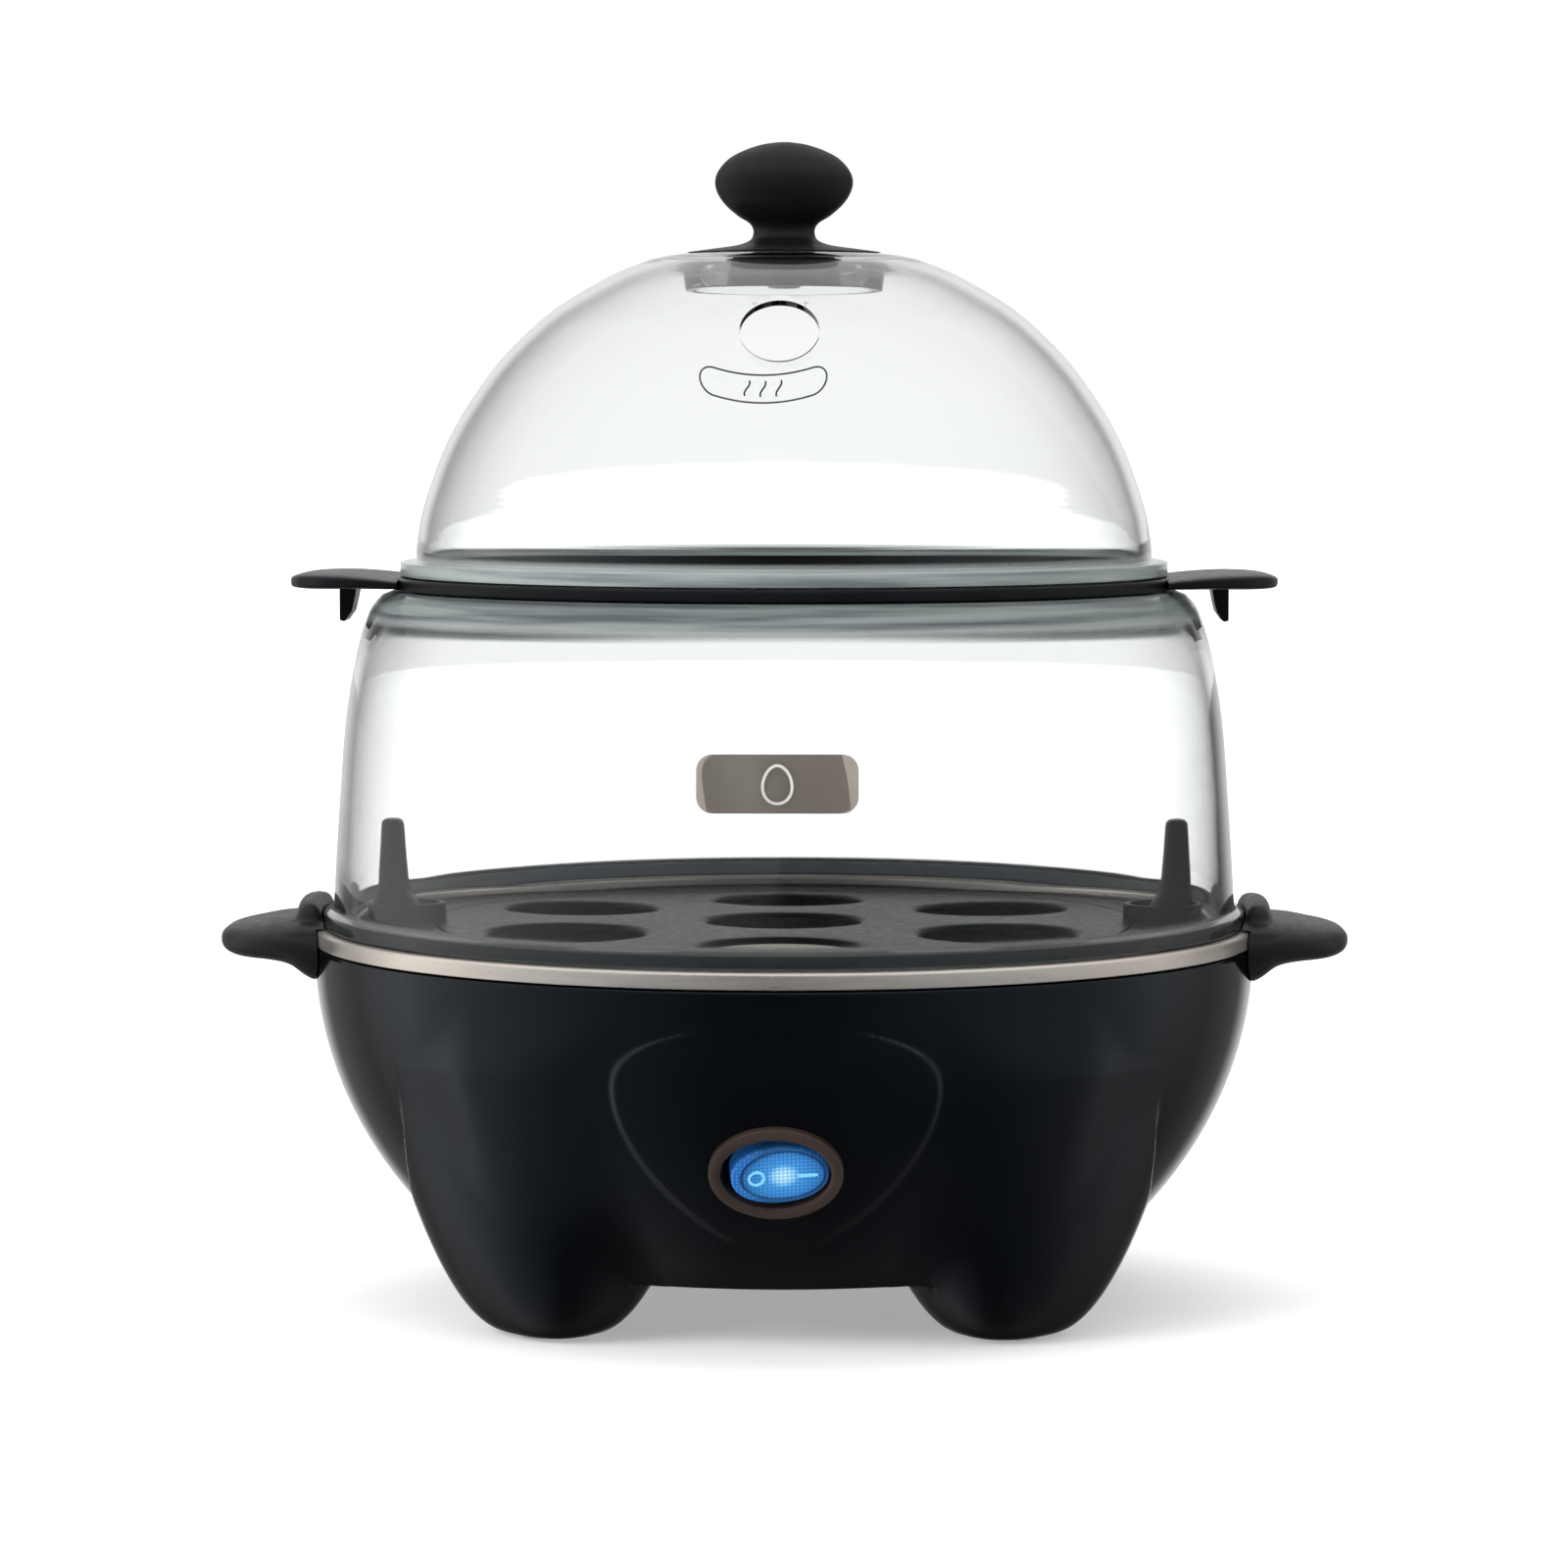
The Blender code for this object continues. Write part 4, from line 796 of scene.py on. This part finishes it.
def lower_tray(mats):
    top, low = LOWER_TRAY_TOP, LOWER_TRAY_LOW
    plate = rounded([(0.0, low + 0.6), (80.0, low + 0.6, 0.3), (81.0, low, 0.3), (LOWER_TRAY_R, low, 0.4),
                     (LOWER_TRAY_R, top, 0.5), (82.2, top, 0.2), (81.6, top - 0.6, 0.2),
                     (80.6, top - 0.6, 0.2), (80.0, top, 0.2), (71.0, top, 0.2), (70.5, top - 0.4, 0.2),
                     (70.0, top, 0.2), (0.0, top)])
    tray = make("tray_low", turned(plate), mats["tray_black"])
    boolean(tray, "DIFFERENCE", egg_cutters(hole_circle(6, LOWER_RING, 30) + [(0, 0)], low, top))
    for side in (-1, 1):
        at = Matrix.Translation((side * (POST_X - 2.3), 0, 0))
        cup = rounded([(6.9, low + 0.9), (8.3, low + 0.9), (8.3, top + 3.9, 0.5), (7.1, top + 3.9, 0.4),
                       (6.9, top + 0.6, 0.4)])
        boolean(tray, "UNION", [turned(cup, 64, at)])
        rings = []
        stations = ((low + 1.2, 4.6, 6.0, 6.5), (top + 1.8, 4.0, 5.6, 6.4), (top + 4.6, 3.6, 4.6, 6.1),
                    (top + 6.4, 3.2, 3.6, 5.7), (top + 9.3, 3.0, 3.1, 5.2), (top + 15, 2.6, 2.6, 4.5),
                    (POST_TOP - 1.6, 2.25, 2.25, 4.0), (POST_TOP - 0.6, 2.0, 2.0, 3.6),
                    (POST_TOP - 0.1, 1.4, 1.4, 2.8), (POST_TOP, 0.5, 0.5, 1.7))
        for z, out, inn, half in eased(stations, 4):
            mid = POST_X + (out - inn) / 2
            rings.append([(side * (mid + x), y, z) for x, y in oval((out + inn) / 2, half, 48, 0.75)])
        boolean(tray, "UNION", [loft(rings)])
    stand_in(tray, "lower_tray", "tray_black", "lower_egg_tray")


TAB_STATIONS = (           # radius, underside, top, half-width
    (75.6, 143.2, 145.2, 24.0), (80.0, 143.2, 145.8, 24.0), (86.0, 143.2, 146.3, 23.2),
    (91.0, 143.1, 146.4, 20.6), (95.0, 143.1, 146.2, 15.6), (97.6, 143.3, 145.6, 9.0),
    (98.4, 143.9, 145.0, 4.0),
)
HOOK_OUTLINE = ((85.0, 144.2), (88.6, 144.2), (88.6, 136.6, 0.4), (87.6, 136.4, 0.4), (86.2, 138.4, 0.8),
                (85.6, 141.0, 1.0))


def upper_tray(mats):
    top, rim, shelf = TRAY_RIM_TOP, TRAY_RIM_R, SHELL_TOP + GAP
    low, floor = UPPER_TRAY_LOW, UPPER_TRAY_FLOOR
    outline = rounded([(0.0, low), (72.6, low, 1.2), (74.0, 139.4, 0.8), (74.0, shelf, 0.3),
                       (rim, shelf, 0.5), (rim, top, 0.7), (74.4, top, 0.5), (72.2, top - 1.6, 0.8),
                       (71.6, floor, 1.6), (0.0, floor)])
    tray = make("tray_high", turned(outline), mats["tray_black"])
    boolean(tray, "DIFFERENCE", egg_cutters(hole_circle(5, UPPER_RING, -90), low, floor))
    for side in (-1, 1):
        rings = []
        for r, under, over, half in eased(TAB_STATIONS, 5):
            mid, tall = (under + over) / 2, (over - under) / 2
            rings.append([(side * r, y, mid + z) for y, z in oval(half, tall, 56, 0.45)])
        boolean(tray, "UNION", [loft(rings)])
        turn = Matrix(((side, 0, 0, 0), (0, 0, 1, 0), (0, 1, 0, 0), (0, 0, 0, 1)))
        boolean(tray, "UNION", [prism(rounded(HOOK_OUTLINE), -5.0, 5.0, turn)])
    stand_in(tray, "upper_tray", "tray_black", "upper_egg_tray")


# ---------------------------------------------------------------- clear housings

SHELL_OUTER = (            # radius, height up the outside of the shell
    (89.6, 90.0), (89.0, 99.0), (87.8, 115.0), (86.2, 126.0), (84.4, 134.0), (82.4, 139.2), (80.2, 141.8),
)


def clear_housing(mats):
    inner = [(78.8, 139.2), (80.2, 137.2), (82.2, 132.6), (84.0, 125.5), (85.6, 114.5), (86.8, 98.8)]
    foot = rounded([(87.6, SHELL_FOOT_Z), (SHELL_FOOT_R, SHELL_FOOT_Z, 0.4), (SHELL_FOOT_R, 78.8, 0.8),
                    (90.2, 79.4, 0.8), SHELL_OUTER[0]])[:-1]
    lip = rounded([SHELL_OUTER[-1], (77.8, SHELL_TOP, 1.0), (75.2, SHELL_TOP, 0.6), (75.0, 140.6, 0.5),
                   (78.8, 139.2)])[1:-1]
    outline = foot + eased(SHELL_OUTER, 4) + lip + eased(inner, 4)
    shell = make("clear_housing", turned(outline), mats["clear_plastic"])
    stand_in(shell, "shell", "clear_plastic", "lower_shell")


DOME_OUTER = (             # radius, height down the outside of the dome
    (20.0, 209.5), (24.2, 208.9), (28.1, 207.8), (35.2, 204.8), (45.0, 199.0), (52.0, 193.1),
    (57.5, 187.2), (61.8, 181.3), (65.5, 175.4), (68.3, 169.6), (70.5, 163.7), (72.3, 157.8), (73.3, 151.9),
)


def offset_inwards(points, distance):
    """The outline moved square to itself, for the inside of a wall."""
    result = []
    for k, (r, z) in enumerate(points):
        before, after = points[max(k - 1, 0)], points[min(k + 1, len(points) - 1)]
        dr, dz = after[0] - before[0], after[1] - before[1]
        size = math.hypot(dr, dz)
        result.append((r + dz / size * distance, z - dr / size * distance))
    return result


def vent_frame():
    return Matrix.Translation(VENT_AT) @ Matrix.Rotation(math.pi / 2 - VENT_LEAN, 4, "X")


def clear_dome(mats):
    wall = eased(DOME_OUTER, 4)
    foot = rounded([DOME_OUTER[-1], (73.5, 148.7, 0.5), (DOME_FOOT_R, 148.4, 0.5),
                    (DOME_FOOT_R, DOME_FOOT_Z, 0.3), (71.2, DOME_FOOT_Z)])[1:]
    inner = offset_inwards(eased(DOME_OUTER[1:], 4), 2.2)[::-1]
    ribs = rounded([inner[-1], (20.4, 206.9, 0.5), (19.7, 202.0, 0.4), (18.1, 202.0, 0.4), (17.8, 207.1, 0.5),
                    (KNOB_SEAT_R, 207.1)])[1:]
    outline = [(KNOB_SEAT_R, DOME_TOP)] + wall + foot + inner + ribs
    dome = make("clear_dome", turned(outline), mats["clear_plastic"])
    boolean(dome, "DIFFERENCE", [rod(VENT_R, -8, 24, segs=96, matrix=vent_frame())])
    stand_in(dome, "lid", "clear_plastic", "dome_lid")


KNOB_PROFILE = (           # height, half-width across the front, depth as a share of that
    (DOME_TOP + GAP, 19.3, 1.0), (210.4, 15.0, 1.0), (211.2, 9.4, 1.0), (212.2, 6.8, 1.0),
    (213.4, 6.15, 0.95), (214.6, 6.25, 0.9), (215.7, 7.1, 0.86), (217.0, 9.2, 0.78),
    (219.2, 11.7, 0.72), (221.6, 13.3, 0.68), (223.9, 13.75, 0.66), (226.1, 13.0, 0.66),
    (228.4, 10.9, 0.68), (230.0, 7.9, 0.74), (231.1, 4.6, 0.84), (KNOB_TOP, 1.4, 1.0),
)


def knob(mats):
    rings = []
    for z, half, share in eased(KNOB_PROFILE, 4):
        rings.append([(x, y, min(z, KNOB_TOP)) for x, y in oval(half, half * share, 96)])
    body = make("knob_skin", loft(rings), mats["knob_black"])
    boolean(body, "DIFFERENCE", [rod(1.9, DOME_TOP - 3, 220.0)])
    stand_in(body, "lid", "soft_black", "lid_knob")
    ring = rounded([(2.6, 205.4), (11.6, 205.4, 0.5), (11.6, 206.8, 0.4), (2.6, 206.8)])
    washer = make("washer_skin", turned(ring, 96), mats["rubber"])
    stand_in(washer, "lid", "rubber", "knob_washer")
    head = rounded([(0.0, 202.4), (3.6, 202.4, 1.0), (3.6, 205.1, 0.2), (1.6, 205.1),
                    (1.6, 219.0), (0.0, 219.0)])
    screw = make("screw_skin", turned(head, 48), mats["zinc_steel"])
    stand_in(screw, "lid", "zinc_steel", "knob_screw")


# ---------------------------------------------------------------- generic marks on the clear plastic

def wall_radius(profile, z):
    """Outer radius of a turned wall at a height, from its (radius, height) outline."""
    heights, radii = zip(*sorted((height, radius) for radius, height in profile))
    return float(np.interp(z, heights, radii))


def on_wall(profile, x, z, off):
    r = wall_radius(profile, z) + off
    return (x, -math.sqrt(r * r - x * x), z)


def stroke(profile, points, half, closed, depth=(0.03, 0.10)):
    """A thin raised line along (x, z) points on the front of a turned wall."""
    rings = []
    count = len(points)
    for k, (x, z) in enumerate(points):
        if closed:
            (xa, za), (xb, zb) = points[k - 1], points[(k + 1) % count]
        else:
            (xa, za), (xb, zb) = points[max(k - 1, 0)], points[min(k + 1, count - 1)]
        size = math.hypot(xb - xa, zb - za)
        nx, nz = -(zb - za) / size * half, (xb - xa) / size * half
        rings.append([on_wall(profile, x + s * nx, z + s * nz, off)
                      for s, off in ((-1, depth[0]), (1, depth[0]), (1, depth[1]), (-1, depth[1]))])
    if closed:
        return outward(([p for ring in rings for p in ring], grid_faces(count, 4, True)))
    return loft(rings)


def badge(mats):
    """A plain foil label with an egg outline on the front of the clear housing."""
    outline = []
    mid_x, mid_z, half_x, half_z, r, steps = 0.3, 110.05, 15.0, 5.45, 3.0, 8
    for side_x, side_z, start in ((1, 1, 0), (-1, 1, 90), (-1, -1, 180), (1, -1, 270)):
        for k in range(steps + 1):
            a = math.radians(start + 90 * k / steps)
            outline.append((mid_x + side_x * (half_x - r) + r * math.cos(a),
                            mid_z + side_z * (half_z - r) + r * math.sin(a)))
    plate = make("badge_plate", loft([[on_wall(SHELL_OUTER, x, z, off) for x, z in outline]
                                      for off in (0.03, 0.12)]), mats["badge_foil"])
    stand_in(plate, "shell", "stainless")
    egg = []
    for k in range(48):
        a = 2 * math.pi * k / 48
        egg.append((0.3 + (2.7 - 0.35 * math.sin(a)) * math.cos(a), 110.0 + 3.5 * math.sin(a)))
    mark = make("badge_egg", stroke(SHELL_OUTER, egg, 0.28, True, (0.10, 0.20)), mats["silicone"])
    stand_in(mark, "shell", "silicone")


def steam_mark(mats):
    """A plain curved capsule with three steam waves below the vent."""
    half, tall, sag, at_x, at_z = 9.4, 2.6, 2.4, -2.9, 182.6

    def bent(x, z):
        return at_x + x, at_z + z + sag * (x / (half + tall)) ** 2

    loop = []
    for side in (1, -1):
        loop += [bent(side * x, -side * tall) for x in np.linspace(-half, half, 25)]
        loop += [bent(side * (half + tall * math.sin(a)), -side * tall * math.cos(a))
                 for a in np.linspace(0.2, math.pi - 0.2, 12)]
    ring = make("steam_capsule", stroke(DOME_OUTER, loop, 0.16, True), mats["soft_black"])
    stand_in(ring, "lid", "soft_black")
    waves = []
    for k in (-1, 0, 1):
        wave = [bent(k * 3.0 + 0.5 * math.sin(t * 2.2), t * 1.5) for t in np.linspace(-1, 1, 17)]
        waves.append(stroke(DOME_OUTER, wave, 0.17, False))
    marks = make("steam_waves", merged(waves), mats["soft_black"])
    stand_in(marks, "lid", "soft_black")


def main():
    mats = material_set()
    for entry in frame["record"]["subparts"]:
        node = frame["nodes"][entry["node"]]
        node.data.materials.clear()
        node.data.materials.append(mats[entry["material_slot"]])
    base_skin(mats)
    small_base_parts(mats)
    pan(mats)
    side_grip("left", -1, mats)
    side_grip("right", 1, mats)
    switch(mats)
    lower_tray(mats)
    upper_tray(mats)
    clear_housing(mats)
    clear_dome(mats)
    knob(mats)
    badge(mats)
    steam_mark(mats)


# ---------------------------------------------------------------- studio

# The studio's lengths are in metres. Each level of the surroundings goes with a direction: 0 is
# straight in front of the object, 1 straight behind it.
LEFT_LEVELS = ((0.0, 0.045), (0.05, 0.14), (0.19, 0.36), (0.40, 0.64), (0.62, 0.95), (0.80, 0.30),
               (0.93, 0.30), (0.97, 0.9))
RIGHT_LEVELS = ((0.0, 0.045), (0.05, 0.13), (0.19, 0.30), (0.40, 0.38), (0.62, 0.55), (0.80, 0.22),
                (0.93, 0.22), (0.97, 0.9))
# What is left of a level straight below, from far left (0) to far right (1).
BELOW_LEVELS = ((0.0, 0.50), (0.25, 0.36), (0.43, 0.10), (0.56, 0.10), (0.72, 0.24), (1.0, 0.32))
DAYLIGHT, TINTED_PART = (0.88, 0.98, 1.07), 0.30
SMOOTH = {"interpolation_type": "SMOOTHSTEP"}
LAMPS = (                  # name, place, size, power
    ("key", (-1.5, -1.3, 1.1), 1.2, 34.0),
    ("fill", (1.6, -1.0, 0.9), 1.2, 6.0),
    ("top", (0.0, 0.2, 2.4), 2.2, 34.0),
)
LAMP_AIM, FLOOR_HALF = Vector((0, 0, 0.1)), 40.0
CAMERA_AWAY, CAMERA_HEIGHT = 1.06, 0.182
CAMERA_YAW, CAMERA_DIP = math.radians(1.0), math.radians(4.23)
SENSOR, LENS = 36.0, 121.6


def daylight(levels):
    """The levels as colours, bluish in front of the object and neutral elsewhere."""
    return [(place, tuple(level * c for c in DAYLIGHT) if place < TINTED_PART else level)
            for place, level in levels]


def world_light():
    """Bright behind the object, dark in front of it and below, a little brighter on the left."""
    world = bpy.data.worlds.new("studio")
    bpy.context.scene.world = world
    world.use_nodes = True
    g = Graph(world.node_tree)
    x, y, z = g.parts(g.add("TexCoord").outputs["Generated"])
    back = g.tree.nodes["Background"]
    behind = g.ramp(y, 0.0, 1.0, -1.0, 1.0)
    right = g.ramp(x, 0.0, 1.0, -0.25, 0.45, **SMOOTH)
    around = g.mix(right, g.stops(behind, daylight(LEFT_LEVELS)), g.stops(behind, daylight(RIGHT_LEVELS)))
    above = g.ramp(z, 0.0, 1.0, 0.25, 0.80, **SMOOTH)
    g.feed(back.inputs["Color"], g.mix(above, around, (0.9, 0.9, 0.9, 1.0)))
    lowest = g.stops(g.ramp(x, 0.0, 1.0, -1.0, 1.0), BELOW_LEVELS)
    g.feed(back.inputs["Strength"], g.ramp(z, lowest, 1.0, -0.75, 0.02, **SMOOTH))
    path = g.add("LightPath").outputs
    unmirrored = g.math("LESS_THAN", path["Glossy Depth"], 0.5)
    through = g.math("MULTIPLY", path["Is Transmission Ray"], unmirrored)
    seen = g.math("MAXIMUM", path["Is Camera Ray"], through)
    white = g.add("Background", Color=(1.05, 1.05, 1.05, 1.0))
    g.feed(g.tree.nodes["World Output"].inputs["Surface"], g.choose(seen, back.outputs[0], white.outputs[0]))


def pale_floor():
    """White far away, and darker in what the clear plastic mirrors of it, mostly on the right."""
    n = Nodes("floor_pale", Base_Color=(0.80, 0.80, 0.80, 1), Roughness=0.9, Emission_Color=(1, 1, 1, 1))
    away = n.add("VectorMath", operation="LENGTH")
    n.feed(away.inputs[0], n.place())
    n.to(n.ramp(away.outputs["Value"], 0.36, 0.80, 0.5, 3.0), "Emission Strength")
    mirrored = n.math("GREATER_THAN", n.add("LightPath").outputs["Glossy Depth"], 0.5)
    dim = n.add("Emission", Strength=n.ramp(n.parts(n.place())[0], 0.42, 0.04, -0.20, 0.10))
    surface = n.choose(mirrored, n.shader.outputs[0], dim.outputs[0])
    n.feed(n.tree.nodes["Material Output"].inputs["Surface"], surface)
    return n.mat


def stage_object(name, data):
    obj = bpy.data.objects.new(name, data)
    bpy.context.scene.collection.objects.link(obj)
    return obj


def studio():
    floor = bpy.data.meshes.new("floor")
    half = FLOOR_HALF
    floor.from_pydata([(x, y, 0) for x, y in box_outline(-half, half, -half, half)], [], [(0, 1, 2, 3)])
    floor.materials.append(pale_floor())
    ground = stage_object("floor", floor)
    ground.visible_glossy = False
    world_light()
    for name, place, size, power in LAMPS:
        light = bpy.data.lights.new(name, "AREA")
        light.energy, light.size = power, size
        lamp = stage_object(name, light)
        lamp.location = place
        lamp.visible_glossy = lamp.visible_transmission = False
        lamp.rotation_euler = (LAMP_AIM - Vector(place)).to_track_quat("-Z", "Y").to_euler()

    camera = bpy.data.cameras.new("camera")
    camera.sensor_width, camera.lens = SENSOR, LENS
    eye = stage_object("camera", camera)
    eye.location = (CAMERA_AWAY * math.sin(CAMERA_YAW), -CAMERA_AWAY * math.cos(CAMERA_YAW), CAMERA_HEIGHT)
    eye.rotation_euler = (math.pi / 2 - CAMERA_DIP, 0, CAMERA_YAW)
    bpy.context.scene.camera = eye
    bpy.context.scene.view_settings.view_transform = "Standard"


main()
studio()
